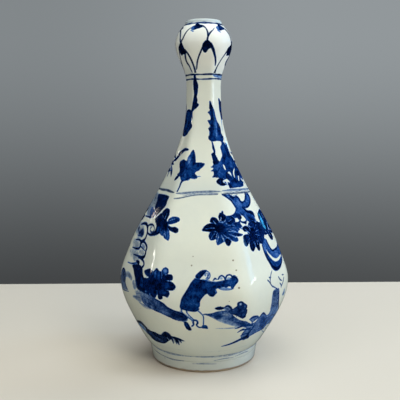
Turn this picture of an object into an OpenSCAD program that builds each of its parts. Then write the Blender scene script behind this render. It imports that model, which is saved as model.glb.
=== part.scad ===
// Garlic head vase: a six-sided porcelain bottle, put together from seven clay pieces
// that are stacked on one axis and luted to each other with slip.
// The foot rim stands on Z = 0, the axis is Z, and one flat side faces -Y.

/* [Foot] */
// Height of the foot ring, which is also the depth of the recess under the base
foot_ring_height = 9; // [6:0.5:14]
// Outside diameter of the foot where it meets the base slab
foot_width = 89.6; // [70:0.2:100]
// How far the outside of the foot ring leans in towards the table
foot_lean = 1.2; // [0:0.1:2]
// Wall of the foot ring under the slab
foot_wall = 6.5; // [5:0.5:10]
// Width of the bare rim that the vase stands on
foot_rim_width = 2.8; // [2:0.1:4]
// Height and width of the bevel on the outside of the rim
foot_bevel = 1.2; // [0.6:0.1:2]
// Thickness of the slab that closes the vase at the bottom
slab_thickness = 5; // [4:0.5:8]

/* [Body] */
// Number of flat sides
sides = 6; // [4:2:8]
// Height of the bowl, from the slab to the belly seam
bowl_height = 52.5; // [40:0.5:70]
// Height of the shoulder piece, from the belly seam to the shoulder seam
shoulder_height = 75.5; // [60:0.5:100]
// How far the edge of the slab sweeps out from the foot to the bowl
bowl_overhang = 1; // [0:0.1:2]
// Width across the corners at the belly
belly_width = 142; // [120:1:160]
// How far the haunch, where the straight shoulder begins, lies in from the belly
haunch_inset = 7.6; // [5:0.1:11]
// Height of the haunch over the belly seam
haunch_rise = 26; // [18:1:40]
// Width across the corners at the shoulder seam
shoulder_width = 74.6; // [60:0.2:90]
// How fast the bowl widens where it leaves the slab, in mm out for each mm up
bowl_flare = 0.71; // [0.5:0.01:1.2]
// How fast the haunch narrows, in mm in for each mm up
haunch_taper = 0.36; // [0.3:0.01:0.6]
// How fast the shoulder narrows at its seam, in mm in for each mm up
shoulder_taper = 0.56; // [0.4:0.01:0.7]
// Wall of the bowl and the shoulder, level
body_wall = 5; // [4:0.25:7]
// How crisp the corners of the body and neck are, from 2, round, upwards
body_crispness = 12; // [4:1:24]

/* [Neck] */
// Height of the neck, from the shoulder seam to the collar seam
neck_height = 93.5; // [70:0.5:120]
// Width across the corners at the waist, the narrowest place
waist_width = 28.4; // [24:0.2:40]
// Depth of the waist below the collar seam
waist_drop = 20.5; // [14:0.5:30]
// Width across the corners at the collar seam
collar_width = 30.2; // [26:0.2:42]
// How fast the neck widens at the collar, in mm out for each mm up
collar_flare = 0.24; // [0.1:0.02:0.4]
// Wall of the neck, level
neck_wall = 4; // [3:0.25:5]

/* [Garlic bulb] */
// Height of the bulb, from the collar seam to the lip seam
bulb_height = 39.5; // [32:0.5:48]
// Width across the lobes of the bulb
bulb_width = 46; // [40:0.2:54]
// Height of the widest place over the collar seam
bulb_rise = 23.4; // [17:0.2:26]
// How fast the bulb closes at the lip, in mm in for each mm up
bulb_closing = 1.05; // [0.8:0.05:2]
// Wall of the bulb, level
bulb_wall = 3.2; // [2.6:0.2:4.4]
// How marked the lobes of the bulb are, from 2, round, upwards
bulb_crispness = 5; // [2:0.5:8]

/* [Lip] */
// Height of the lip over its seam
lip_height = 2.6; // [2.2:0.2:6]
// Outside diameter of the lip
lip_width = 29.4; // [24:0.2:34]
// Wall of the lip, whose top edge is a half round
lip_wall = 3.2; // [2.6:0.2:3.6]

/* [Luting] */
// Thickness of the slip in each seam
slip_thickness = 0.8; // [0.4:0.1:1.2]
// How far the slip has squeezed out inside the vase
slip_bead = 1.2; // [0.4:0.1:2]

/* [Hidden] */

// Points round a moulded section, and rings up each moulded piece
columns = 60;
bowl_rows = 12;
shoulder_rows = 10;
neck_rows = 14;
bulb_rows = 14;
$fn = 96;

// A round section, as the crispness of a corner
ROUND = 2;
half_slip = slip_thickness / 2;

// Heights of the seams, from the table up
foot_seam = foot_ring_height;
slab_seam = foot_seam + slab_thickness;
belly_seam = slab_seam + bowl_height;
shoulder_seam = belly_seam + shoulder_height;
collar_seam = shoulder_seam + neck_height;
lip_seam = collar_seam + bulb_height;
vase_height = lip_seam + lip_height;

foot_radius = foot_width / 2;
bowl_radius = foot_radius + bowl_overhang;
belly_radius = belly_width / 2;
recess_radius = foot_radius - foot_wall;
lip_radius = lip_width / 2;
lip_bore_radius = lip_radius - lip_wall;

// The outline up the vase: height, radius at the corners, mm out for each mm up, crispness, wall
STATIONS = [
    [slab_seam, bowl_radius, bowl_flare, ROUND, body_wall],
    [belly_seam, belly_radius, 0, body_crispness, body_wall],
    [belly_seam + haunch_rise, belly_radius - haunch_inset, -haunch_taper, body_crispness, body_wall],
    [shoulder_seam, shoulder_width / 2, -shoulder_taper, body_crispness, body_wall],
    [collar_seam - waist_drop, waist_width / 2, 0, body_crispness, neck_wall],
    [collar_seam, collar_width / 2, collar_flare, body_crispness, neck_wall],
    [collar_seam + bulb_rise, bulb_width / 2, 0, bulb_crispness, bulb_wall],
    [lip_seam, lip_radius, -bulb_closing, ROUND, bulb_wall]
];
HEIGHT = 0;
RADIUS = 1;
SLOPE = 2;
CRISPNESS = 3;
WALL = 4;

// The stretch of the outline that holds height z, as the number of its lower station
function stretch(z) = max([for (i = [0 : len(STATIONS) - 2]) if (i == 0 || z >= STATIONS[i][HEIGHT]) i]);

// How far z lies up its stretch, from 0 to 1
function share(z, low, high) = (z - low[HEIGHT]) / (high[HEIGHT] - low[HEIGHT]);

// A value that runs evenly from one station to the next
function evenly(z, column) =
    let (i = stretch(z), low = STATIONS[i], high = STATIONS[i + 1], t = share(z, low, high))
    low[column] + (high[column] - low[column]) * t;

// The radius at the corners: a cubic through the stations with their slopes
function corner_radius(z) =
    let (
        i = stretch(z), low = STATIONS[i], high = STATIONS[i + 1],
        t = share(z, low, high), span = high[HEIGHT] - low[HEIGHT]
    )
    (2 * t ^ 3 - 3 * t ^ 2 + 1) * low[RADIUS] + (t ^ 3 - 2 * t ^ 2 + t) * span * low[SLOPE]
    + (3 * t ^ 2 - 2 * t ^ 3) * high[RADIUS] + (t ^ 3 - t ^ 2) * span * high[SLOPE];

// How strongly the flat sides hold the outline back at an angle: the same all round if crispness is 2
function held(angle, crispness) =
    let (pull = [for (k = [0 : sides / 2 - 1]) abs(cos(angle - k * 360 / sides)) ^ crispness])
    (pull * [for (p = pull) 1]) ^ (1 / crispness);

// One level ring of points, with a flat side towards -Y
function ring_points(z, radius, crispness) = [
    for (j = [0 : columns - 1])
        let (angle = j * 360 / columns, r = radius * held(180 / sides, crispness) / held(angle, crispness))
        [r * sin(angle), -r * cos(angle), z]
];

function outer_ring(z) = ring_points(z, corner_radius(z), evenly(z, CRISPNESS));
function inner_ring(z, further = 0) =
    ring_points(z, corner_radius(z) - evenly(z, WALL) - further, evenly(z, CRISPNESS));

// A closed shell: the rings are joined one to the next, and the last to the first
module shell(rings) {
    count = len(rings);
    polyhedron(
        points = [for (ring = rings) each ring],
        faces = [
            for (i = [0 : count - 1], j = [0 : columns - 1])
                let (
                    next_ring = (i + 1) % count, next_column = (j + 1) % columns,
                    a = i * columns + j, b = i * columns + next_column,
                    c = next_ring * columns + next_column, d = next_ring * columns + j
                )
                each [[a, d, c], [a, c, b]]
        ],
        convexity = 6
    );
}

// A moulded piece with an even wall, between two seams
module moulded_piece(low_seam, high_seam, rows) {
    low = low_seam + half_slip;
    step = (high_seam - low_seam - slip_thickness) / rows;
    heights = [for (i = [0 : rows]) low + i * step];
    shell(concat(
        [for (z = heights) outer_ring(z)],
        [for (i = [rows : -1 : 0]) inner_ring(heights[i])]
    ));
}

// The slip in a seam of the moulded pieces, wiped flush outside and left as a bead inside
module moulded_slip(seam) {
    low = seam - half_slip;
    high = seam + half_slip;
    shell([outer_ring(low), outer_ring(high), inner_ring(high), inner_ring(seam, slip_bead), inner_ring(low)]);
}

module porcelain() { color([0.87, 0.88, 0.84]) children(); }
module slip() { color([0.80, 0.79, 0.74]) children(); }

// The turned ring that the vase stands on, with a bare flat rim
module foot_ring() {
    top = foot_seam - half_slip;
    rim_outer = foot_radius - foot_lean - foot_bevel;
    color([0.83, 0.80, 0.73])
    rotate_extrude()
        polygon([
            [recess_radius, top], [rim_outer - foot_rim_width, 0], [rim_outer, 0],
            [foot_radius - foot_lean, foot_bevel], [foot_radius, top]
        ]);
}

module foot_slip() {
    slip()
    translate([0, 0, foot_seam - half_slip])
        difference() {
            cylinder(r = foot_radius, h = slip_thickness);
            translate([0, 0, -half_slip])
                cylinder(r = recess_radius, h = slip_thickness * 2);
        }
}

// The round slab that closes the vase at the bottom, swept out at its edge to meet the bowl
module base_slab() {
    porcelain()
    translate([0, 0, foot_seam + half_slip])
        cylinder(r1 = foot_radius, r2 = bowl_radius, h = slab_thickness - slip_thickness);
}

// The slip between the slab and the bowl, which starts at the bowl's own lower edge
module bowl_slip() {
    low = slab_seam - half_slip;
    high = slab_seam + half_slip;
    bowl_bore = bowl_radius - body_wall;
    slip()
    rotate_extrude()
        polygon([
            [bowl_bore, low], [bowl_radius, low], [corner_radius(high), high],
            [bowl_bore, high], [bowl_bore - slip_bead, slab_seam]
        ]);
}

module lower_body() { porcelain() moulded_piece(slab_seam, belly_seam, bowl_rows); }

module belly_slip() { slip() moulded_slip(belly_seam); }

module upper_body() { porcelain() moulded_piece(belly_seam, shoulder_seam, shoulder_rows); }

module shoulder_slip() { slip() moulded_slip(shoulder_seam); }

module neck() { porcelain() moulded_piece(shoulder_seam, collar_seam, neck_rows); }

module collar_slip() { slip() moulded_slip(collar_seam); }

module garlic_bulb() { porcelain() moulded_piece(collar_seam, lip_seam, bulb_rows); }

// The slip under the lip, where the bulb and the lip are both round
module lip_slip() {
    low = lip_seam - half_slip;
    high = lip_seam + half_slip;
    slip()
    rotate_extrude()
        polygon([
            [lip_bore_radius, low], [corner_radius(low), low], [lip_radius, high],
            [lip_bore_radius, high], [lip_bore_radius - slip_bead, lip_seam]
        ]);
}

// The short upright lip, with a half-round edge
module mouth_lip() {
    edge = lip_wall / 2;
    straight = lip_height - half_slip - edge;
    porcelain()
    translate([0, 0, lip_seam + half_slip])
        rotate_extrude()
            translate([lip_bore_radius, 0])
                union() {
                    square([lip_wall, straight]);
                    intersection() {
                        translate([edge, straight])
                            circle(r = edge);
                        square([lip_wall, lip_height]);
                    }
                }
}

foot_ring();
foot_slip();
base_slab();
bowl_slip();
lower_body();
belly_slip();
upper_body();
shoulder_slip();
neck();
collar_slip();
garlic_bulb();
lip_slip();
mouth_lip();
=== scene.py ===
import math

import bpy
import numpy as np
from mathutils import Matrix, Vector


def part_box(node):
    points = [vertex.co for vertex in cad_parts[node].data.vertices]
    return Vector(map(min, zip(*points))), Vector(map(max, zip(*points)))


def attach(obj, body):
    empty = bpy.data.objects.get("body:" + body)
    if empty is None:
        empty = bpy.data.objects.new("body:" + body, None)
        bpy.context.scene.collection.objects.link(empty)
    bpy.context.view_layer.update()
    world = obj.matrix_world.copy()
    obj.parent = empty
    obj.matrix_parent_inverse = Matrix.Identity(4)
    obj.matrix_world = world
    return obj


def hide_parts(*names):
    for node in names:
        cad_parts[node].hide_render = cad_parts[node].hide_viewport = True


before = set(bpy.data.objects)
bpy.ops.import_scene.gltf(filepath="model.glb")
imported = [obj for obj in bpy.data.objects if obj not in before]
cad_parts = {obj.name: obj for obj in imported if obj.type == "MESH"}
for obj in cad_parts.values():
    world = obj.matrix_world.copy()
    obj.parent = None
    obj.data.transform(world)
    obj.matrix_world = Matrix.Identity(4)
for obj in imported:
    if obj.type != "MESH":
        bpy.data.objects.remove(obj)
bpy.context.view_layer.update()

# Foot ring
# The turned porcelain ring that the vase stands on. It is glazed inside and out and wiped bare on the
# rim, where the clay has fired to a pale biscuit with a rusty edge. It is luted to the slab above it.
MM = 0.001


def half_width(cad_node):
    """Half the width of a CAD node along X, in mm: its radius at the corners."""
    low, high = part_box(cad_node)
    return (high.x - low.x) / 2 / MM


def seam(below, above):
    """The height in mm of the middle of the slip between two CAD nodes."""
    return (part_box(below)[1].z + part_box(above)[0].z) / 2 / MM


FOOT_SEAM = seam("foot_ring", "base_slab")
FOOT_RADIUS = half_width("foot_ring")
FOOT_WALL = 6.5
FOOT_LEAN = 1.2
FOOT_BEVEL = 1.2
FOOT_RIM_WIDTH = 2.8
FOOT_EASE = 0.35
FOOT_STEP = 0.5
FOOT_COLUMNS = 480
FOOT_PAINTED = 1.5
EASE_STEPS = 5
EASE_SHARE = 0.48
CREASE = math.radians(55)


def rounded(corners, radius):
    """An open outline with each inner corner rounded off by about the radius."""
    corners = np.array(corners, float)
    points = [corners[0]]
    for before, corner, after in zip(corners[:-2], corners[1:-1], corners[2:]):
        start = corner + (before - corner) * min(radius / np.linalg.norm(corner - before), EASE_SHARE)
        end = corner + (after - corner) * min(radius / np.linalg.norm(after - corner), EASE_SHARE)
        for t in np.linspace(0, 1, EASE_STEPS):
            points.append(start * (1 - t) ** 2 + 2 * corner * t * (1 - t) + end * t ** 2)
    return points + [corners[-1]]


def divided(points, step):
    """The same outline with no stretch longer than the step."""
    points = np.array(points, float)
    finer = []
    for start, end in zip(points[:-1], points[1:]):
        count = max(1, math.ceil(np.linalg.norm(end - start) / step))
        finer += [start + (end - start) * i / count for i in range(count)]
    return finer + [points[-1]]


def placed(name, data):
    """A new object in the scene."""
    made = bpy.data.objects.new(name, data)
    bpy.context.scene.collection.objects.link(made)
    return made


def turned(name, outline, columns):
    """A turned piece from a closed outline of radius and height in mm, with the clay on its left."""
    count = len(outline)
    angles = np.arange(columns) * 2 * math.pi / columns
    verts = [(r * math.sin(a) * MM, -r * math.cos(a) * MM, z * MM) for r, z in outline for a in angles]
    faces = [
        (i * columns + j, i * columns + (j + 1) % columns,
         (i + 1) % count * columns + (j + 1) % columns, (i + 1) % count * columns + j)
        for i in range(count) for j in range(columns)
    ]
    mesh = bpy.data.meshes.new(name)
    mesh.from_pydata(verts, [], faces)
    mesh.update()
    return placed(name, mesh)


def points_of(piece):
    """Where a piece's points are, in mm."""
    co = np.empty(len(piece.data.vertices) * 3)
    piece.data.vertices.foreach_get("co", co)
    return co.reshape(-1, 3).T / MM


def radii(piece):
    """How far each point of a piece lies from the axis, in mm."""
    x, y, _ = points_of(piece)
    return np.hypot(x, y)


def finished(piece, material, slot, *nodes):
    """Smooths a piece's shading, gives it its finish and puts it in place of its CAD nodes."""
    mesh = piece.data
    mesh.materials.clear()
    mesh.materials.append(material)
    mesh.polygons.foreach_set("use_smooth", [True] * len(mesh.polygons))
    mesh.set_sharp_from_angle(angle=CREASE)
    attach(piece, "root")
    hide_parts(*nodes)


# Cobalt brush marks, in mm: x round the vase from an upright of the mark's own, z up from the table.
# The place of a mark is that upright's angle in degrees, from the front side to the right.
brushwork = []
bands = []
PAINT_REACH = 2.5
FAR = 9.0
THINNEST_LINE = 0.15
CURVE_STEPS = 7
TINY = 1e-9
BAND_RIPPLE = 0.6
BAND_WAVER = 0.22
BAND_TREMOR = 0.12


def flowing(points, closed=False):
    """A smooth curve through given points, with any values that ride along with them."""
    p = np.array(points, float)
    if closed:
        p = np.vstack([p[-1:], p, p[:2]])
    else:
        p = np.vstack([2 * p[0] - p[1], p, 2 * p[-1] - p[-2]])
    t = np.linspace(0, 1, CURVE_STEPS, endpoint=False)[:, None]
    parts = [
        0.5 * (2 * b + (c - a) * t + (2 * a - 5 * b + 4 * c - d) * t ** 2
               + (3 * b - a - 3 * c + d) * t ** 3)
        for a, b, c, d in zip(p[:-3], p[1:-2], p[2:-1], p[3:])
    ]
    return np.vstack(parts if closed else parts + [p[-2:-1]])


def stroke(place, points, breadth, tone, kind="line", grey=0.0):
    """A brush line of one breadth, or one for each point; grey cobalt has been thinned or overfired."""
    breadths = np.broadcast_to(np.asarray(breadth, float), len(points))
    curve = flowing(np.column_stack([points, breadths]))
    half = np.maximum(curve[:, 2], THINNEST_LINE) / 2
    brushwork.append((kind, place, curve[:, :2], half, tone, grey, None))


def reserve(place, points, breadth):
    """A line left white through a wash."""
    stroke(place, points, breadth, 0, "reserve")


def wash(place, points, tone, fade=None, grey=0.0):
    """A filled shape; fade gives where the tone starts, where it ends, and the tone there."""
    brushwork.append(("wash", place, flowing(points, closed=True), None, tone, grey, fade))


def pool(place, points, tone, soft, grey=None):
    """A soft-edged patch, lighter or darker than the wash it lies in, or a faint wash on its own."""
    brushwork.append(("pool", place, flowing(points, closed=True), None, tone, grey, soft))


def band(height, breadth, tone, sway, phase, grey):
    """A line run round the vase on the wheel, with a little sway."""
    bands.append((height, breadth / 2, tone, sway, phase, grey))


def nearest_on_line(x, z, line, half):
    """Gap to the edge of a brush line, side of its middle, half breadth there: one for each point."""
    start, run = line[:-1], np.diff(line, axis=0)
    ax, az = x[:, None] - start[:, 0], z[:, None] - start[:, 1]
    t = np.clip((ax * run[:, 0] + az * run[:, 1]) / ((run ** 2).sum(1) + TINY), 0, 1)
    distance = np.hypot(ax - t * run[:, 0], az - t * run[:, 1])
    breadth = half[:-1] + t * np.diff(half)
    pick = (np.arange(len(x)), (distance - breadth).argmin(1))
    left = np.where(run[:, 0] * az - run[:, 1] * ax >= 0, 1.0, -1.0)
    return (distance - breadth)[pick], (distance * left)[pick], breadth[pick]


def within(x, z, outline):
    """Which points lie inside a closed outline."""
    x0, z0 = outline.T
    x1, z1 = np.roll(outline, -1, axis=0).T
    crosses = (z0 > z[:, None]) != (z1 > z[:, None])
    at = x0 + (z[:, None] - z0) * (x1 - x0) / np.where(z1 == z0, TINY, z1 - z0)
    return (crosses & (x[:, None] < at)).sum(1) % 2 == 1


def faded(x, z, tone, fade):
    """The tone of a wash at each point."""
    if fade is None:
        return np.full(len(x), tone)
    (x0, z0), (x1, z1), last = fade
    share = ((x - x0) * (x1 - x0) + (z - z0) * (z1 - z0)) / ((x1 - x0) ** 2 + (z1 - z0) ** 2)
    return tone + np.clip(share, 0, 1) * (last - tone)


def paint(piece, painted, girth):
    """Works the brush marks out at each point of a piece: distances in mm and depths of cobalt."""
    px, py, height = points_of(piece)
    around = np.degrees(np.arctan2(px, -py))
    turn = np.radians(around)
    field = {}
    for name in ("wash_edge", "line_gap", "line_side", "speck_gap"):
        field[name] = np.full(len(height), FAR)
    for name in ("wash_tone", "wash_grey", "line_half", "line_tone", "line_grey"):
        field[name] = np.zeros(len(height))

    def lay_line(near, gap, side, half, tone, grey):
        closer = gap < field["line_gap"][near]
        for name, value in (("gap", gap), ("side", side), ("half", half), ("tone", tone), ("grey", grey)):
            field["line_" + name][near[closer]] = np.broadcast_to(value, len(near))[closer]

    def lay_pool(near, edge, tone, grey, soft):
        before = field["wash_edge"][near]
        share = np.clip((soft - edge) / (2 * soft), 0, 1)
        share = share ** 2 * (3 - 2 * share)
        under = np.where(before < 0, field["wash_tone"][near], 0)
        field["wash_tone"][near] = under + (tone - under) * share
        if grey is not None:
            field["wash_grey"][near] += (grey - field["wash_grey"][near]) * share
        field["wash_edge"][near] = np.minimum(before, edge - soft)

    def lay_wash(near, edge, tones, grey):
        before = field["wash_edge"][near]
        over = (edge < 0) | (edge < before)
        field["wash_tone"][near[over]] = tones[over]
        field["wash_grey"][near[over]] = grey
        field["wash_edge"][near] = np.minimum(before, edge)

    for level, half, tone, sway, phase, grey in bands:
        rise = (np.sin(turn + phase) + BAND_RIPPLE * np.sin(3 * turn + 2 * phase)) / (1 + BAND_RIPPLE)
        line = level + sway * rise
        near = np.flatnonzero(painted & (np.abs(height - line) < half + PAINT_REACH))
        side = (height - line)[near]
        waver = BAND_WAVER * np.sin(7 * turn[near] + phase) + BAND_TREMOR * np.sin(17 * turn[near])
        width = half * (1 + waver)
        lay_line(near, np.abs(side) - width, side, width, tone, grey)

    for kind, place, line, half, tone, grey, spread in brushwork:
        x = np.radians((around - place + 180) % 360 - 180) * girth
        margin = PAINT_REACH + (0 if half is None else half.max())
        low, high = line.min(0) - margin, line.max(0) + margin
        near = np.flatnonzero(
            painted & (height > low[1]) & (height < high[1]) & (x > low[0]) & (x < high[0]))
        if not len(near):
            continue
        nx, nz = x[near], height[near]
        if kind in ("wash", "pool"):
            loop = np.vstack([line, line[:1]])
            gap = nearest_on_line(nx, nz, loop, np.zeros(len(loop)))[0]
            edge = np.where(within(nx, nz, line), -gap, gap)
            if kind == "pool":
                lay_pool(near, edge, tone, grey, spread)
            else:
                lay_wash(near, edge, faded(nx, nz, tone, spread), grey)
            continue
        gap, side, breadth = nearest_on_line(nx, nz, line, half)
        if kind == "line":
            lay_line(near, gap, side, breadth, tone, grey)
        elif kind == "speck":
            field["speck_gap"][near] = np.minimum(field["speck_gap"][near], gap)
        else:
            field["wash_edge"][near] = np.maximum(field["wash_edge"][near], -gap)

    for name, values in field.items():
        attribute = piece.data.attributes.new(name, "FLOAT", "POINT")
        attribute.data.foreach_set("value", values.astype(np.float32))


class Value:
    """One output in a node tree, to reckon with like a number."""

    def __init__(self, socket):
        self.socket = socket
        self.tree = socket.id_data

    def __add__(self, other):
        return calc("ADD", self, other)

    def __sub__(self, other):
        return calc("SUBTRACT", self, other)

    def __rsub__(self, other):
        return calc("SUBTRACT", other, self)

    def __mul__(self, other):
        return calc("MULTIPLY", self, other)

    def __truediv__(self, other):
        return calc("DIVIDE", self, other)

    def __rtruediv__(self, other):
        return calc("DIVIDE", other, self)


def feed(socket, value):
    """Links an input to a value, or sets it to what is given."""
    if isinstance(value, Value):
        value.tree.links.new(value.socket, socket)
    else:
        socket.default_value = value


def node(tree, kind, inputs=None, **settings):
    """Adds a node with its settings and inputs; gives its outputs by name, the first of each name."""
    made = tree.nodes.new(kind)
    for name, setting in settings.items():
        setattr(made, name, setting)
    for name, value in (inputs or {}).items():
        feed(made.inputs[name], value)
    return {socket.name: Value(socket) for socket in reversed(made.outputs.values())}


def calc(operation, *values):
    """Adds one step of arithmetic."""
    tree = next(value.tree for value in values if isinstance(value, Value))
    return node(tree, "ShaderNodeMath", dict(enumerate(values)), operation=operation)["Value"]


def eases(value, start, end, low=0.0, high=1.0):
    """Runs smoothly from low to high while the value goes from start to end."""
    inputs = {"Value": value, "From Min": start, "From Max": end, "To Min": low, "To Max": high}
    return node(value.tree, "ShaderNodeMapRange", inputs, interpolation_type="SMOOTHSTEP")["Result"]


def mixed(factor, first, second):
    """A number between two."""
    return node(factor.tree, "ShaderNodeMix", {"Factor": factor, "A": first, "B": second})["Result"]


def blended(factor, first, second):
    """A colour between two."""
    made = factor.tree.nodes.new("ShaderNodeMix")
    made.data_type = "RGBA"
    for socket, value in ((0, factor), (6, first), (7, second)):
        feed(made.inputs[socket], value)
    return Value(made.outputs[2])


def noise(where, scale, detail=2.0, rough=0.5):
    """Smooth noise over the clay, with its scale in ripples for each metre."""
    inputs = {"Vector": where, "Scale": scale, "Detail": detail, "Roughness": rough}
    return node(where.tree, "ShaderNodeTexNoise", inputs)["Fac"]


def dots(where, scale, rim, core, channel, least):
    """Round dots scattered over the clay, of which only those with a high enough chance are there."""
    cells = node(where.tree, "ShaderNodeTexVoronoi", {"Vector": where, "Scale": scale})
    chance = node(where.tree, "ShaderNodeSeparateColor", {"Color": cells["Color"]})[channel]
    return eases(cells["Distance"], rim, core) * calc("GREATER_THAN", chance, least)


def colour(red, green, blue):
    """A colour as seen, from 0 to 255, as the light values that a shader wants."""
    shares = (c / 255 for c in (red, green, blue))
    return tuple(s / 12.92 if s <= 0.04045 else ((s + 0.055) / 1.055) ** 2.4 for s in shares) + (1.0,)


def shader_group(name, inputs, outputs):
    """A node group with named sockets; gives it with its inputs as values."""
    group = bpy.data.node_groups.new(name, "ShaderNodeTree")
    for direction, sockets in (("INPUT", inputs), ("OUTPUT", outputs)):
        for socket, kind in sockets.items():
            group.interface.new_socket(socket, in_out=direction, socket_type="NodeSocket" + kind)
    return group, node(group, "NodeGroupInput")


# The clear glaze: greener where it has pooled, with slow ripples, pinholes and a few specks of iron.
IRON = colour(88, 66, 42)
clear_glaze, given = shader_group(
    "clear_glaze", {"Thin": "Color", "Pooled": "Color", "Pooling": "Float"},
    {"Colour": "Color", "Roughness": "Float", "Height": "Float"})
clay = node(clear_glaze, "ShaderNodeTexCoord")["Object"]
cloud = eases(noise(clay, 24, 3), 0.35, 0.7)
streaks = eases(noise(clay, 130, 3), 0.4, 0.75)
depth = cloud * 0.35 + streaks * 0.12 + given["Pooling"]
speck_gap = node(clear_glaze, "ShaderNodeAttribute", attribute_name="speck_gap")["Fac"]
iron = calc("MAXIMUM", dots(clay, 70, 0.034, 0.018, "Red", 0.62), eases(speck_gap, 0.35, -0.1))
pinholes = dots(clay, 210, 0.07, 0.03, "Green", 0.8)
node(clear_glaze, "NodeGroupOutput", {
    "Colour": blended(iron * 0.75, blended(depth, given["Thin"], given["Pooled"]), IRON),
    "Roughness": eases(noise(clay, 160, 4), 0.3, 0.8, 0.04, 0.08),
    "Height": noise(clay, 85) * 0.8 + noise(clay, 520) * 0.07 - pinholes * 0.25})

# The cobalt under the glaze: it bleeds a little at the edges of a mark and lies unevenly inside it.
COBALT_DEPTHS = (
    (0.0, (170, 190, 208)), (0.2, (114, 152, 200)), (0.42, (48, 92, 162)), (0.62, (14, 58, 124)),
    (0.82, (3, 31, 88)), (1.0, (0, 5, 28)))
GREY_DEPTHS = (
    (0.0, (184, 190, 188)), (0.3, (130, 144, 158)), (0.6, (58, 74, 100)), (0.85, (16, 25, 42)),
    (1.0, (4, 7, 16)))
cobalt_brushwork, given = shader_group(
    "cobalt_brushwork", {"Bleed": "Float"}, {"Colour": "Color", "Cover": "Float"})
clay = node(cobalt_brushwork, "ShaderNodeTexCoord")["Object"]
ragged = noise(clay, 750, 3) - 0.5
lying = eases(noise(clay, 210, 4, 0.62), 0.3, 0.72, -0.5, 0.5)
brushed = eases(noise(clay, 640, 2, 0.6), 0.3, 0.7, -0.5, 0.5)
grain = eases(noise(clay, 1500), 0.25, 0.8, 0.9, 1.08)


def mark(name):
    """A value that the brush marks left on the points of a piece."""
    return node(cobalt_brushwork, "ShaderNodeAttribute", attribute_name=name)["Fac"]


def cover(edge):
    """How far the cobalt covers the clay near the edge of a mark."""
    return eases(edge, given["Bleed"], given["Bleed"] * -1.0)


def uneven(tone, reach):
    """A depth of cobalt that varies, most in the middle depths."""
    drift = lying * (1.5 * reach) + brushed * reach
    return tone + drift * (tone * (1.15 - tone))


def depths(cobalt, stops):
    """The colour of the cobalt at each depth."""
    ramp = cobalt_brushwork.nodes.new("ShaderNodeValToRGB")
    feed(ramp.inputs["Fac"], cobalt)
    while len(ramp.color_ramp.elements) < len(stops):
        ramp.color_ramp.elements.new(0.5)
    for stop, (at, shade) in zip(ramp.color_ramp.elements, stops):
        stop.position = at
        stop.color = colour(*shade)
    return Value(ramp.outputs["Color"])


wash_edge = mark("wash_edge") + ragged * 0.7
wash_depth = uneven(mark("wash_tone"), 0.65) + eases(wash_edge, -1.3, -0.3, 0.0, 0.1)
wash_cobalt = cover(wash_edge) * (wash_depth * eases(mark("wash_tone"), 0.0, 0.12))
line_edge = calc("ABSOLUTE", mark("line_side")) - mark("line_half") + ragged * 0.3
line_cover = cover(line_edge) * eases(mark("line_gap"), 0.75, 0.5)
line_cobalt = line_cover * uneven(mark("line_tone"), 0.6)
cobalt = calc("MAXIMUM", wash_cobalt, line_cobalt) * grain
greyed = mixed(calc("GREATER_THAN", line_cobalt, wash_cobalt), mark("wash_grey"), mark("line_grey"))
node(cobalt_brushwork, "NodeGroupOutput", {
    "Colour": blended(greyed, depths(cobalt, COBALT_DEPTHS), depths(cobalt, GREY_DEPTHS)),
    "Cover": eases(cobalt, 0.0, 0.17)})

GLAZE_THIN = colour(225, 229, 216)
GLAZE_POOLED = colour(208, 215, 208)
GLAZE_RIPPLE = 0.0011
GLAZE_BUMP = 0.22
GLAZE_IOR = 1.45
GLAZE_GLOSS = 0.32
MOST_POOLING = 0.75


def on_clay(tree):
    """Where a point is on the clay, and how high it lies, in metres."""
    spot = node(tree, "ShaderNodeTexCoord")["Object"]
    return spot, node(tree, "ShaderNodeSeparateXYZ", {"Vector": spot})["Z"]


def glazed(name, thin, pooled, pool_from, pool_to, bleed):
    """A glaze over the painting; it pools as the height in mm goes from pool_from down to pool_to.

    Gives the material, its colour so far and the socket that takes the colour.
    """
    material = bpy.data.materials.new(name)
    material.use_nodes = True
    tree = material.node_tree
    pooling = eases(on_clay(tree)[1], pool_from * MM, pool_to * MM, 0.0, MOST_POOLING)
    coat = {"Thin": thin, "Pooled": pooled, "Pooling": pooling}
    surface = node(tree, "ShaderNodeGroup", coat, node_tree=clear_glaze)
    painting = node(tree, "ShaderNodeGroup", {"Bleed": bleed}, node_tree=cobalt_brushwork)
    base = blended(painting["Cover"], surface["Colour"], painting["Colour"])
    relief = {"Height": surface["Height"], "Strength": GLAZE_BUMP, "Distance": GLAZE_RIPPLE}
    shader = tree.nodes["Principled BSDF"].inputs
    feed(shader["Base Color"], base)
    feed(shader["Roughness"], surface["Roughness"])
    feed(shader["Normal"], node(tree, "ShaderNodeBump", relief)["Normal"])
    feed(shader["IOR"], GLAZE_IOR)
    feed(shader["Specular IOR Level"], GLAZE_GLOSS)
    return material, base, shader["Base Color"]


# The rim is bare below the wipe line, and rusty just above it.
FOOT_POOLED = colour(202, 210, 206)
RUST = colour(120, 84, 52)
BISCUIT_PALE = colour(206, 190, 164)
BISCUIT_DARK = colour(176, 152, 120)
foot_glaze, foot_base, foot_colour = glazed(
    "foot_glaze", GLAZE_THIN, FOOT_POOLED, pool_from=26, pool_to=4, bleed=0.45)
clay, clay_height = on_clay(foot_glaze.node_tree)
wiped = clay_height + noise(clay, 160, 3) * (-1.2 * MM)
bare = eases(wiped, 0.9 * MM, 0.5 * MM)
rusty = eases(wiped, 2.0 * MM, 0.9 * MM) - bare
biscuit = blended(noise(clay, 300, 4), BISCUIT_PALE, BISCUIT_DARK)
feed(foot_colour, blended(bare, blended(rusty * 0.8, foot_base, RUST), biscuit))

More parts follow.
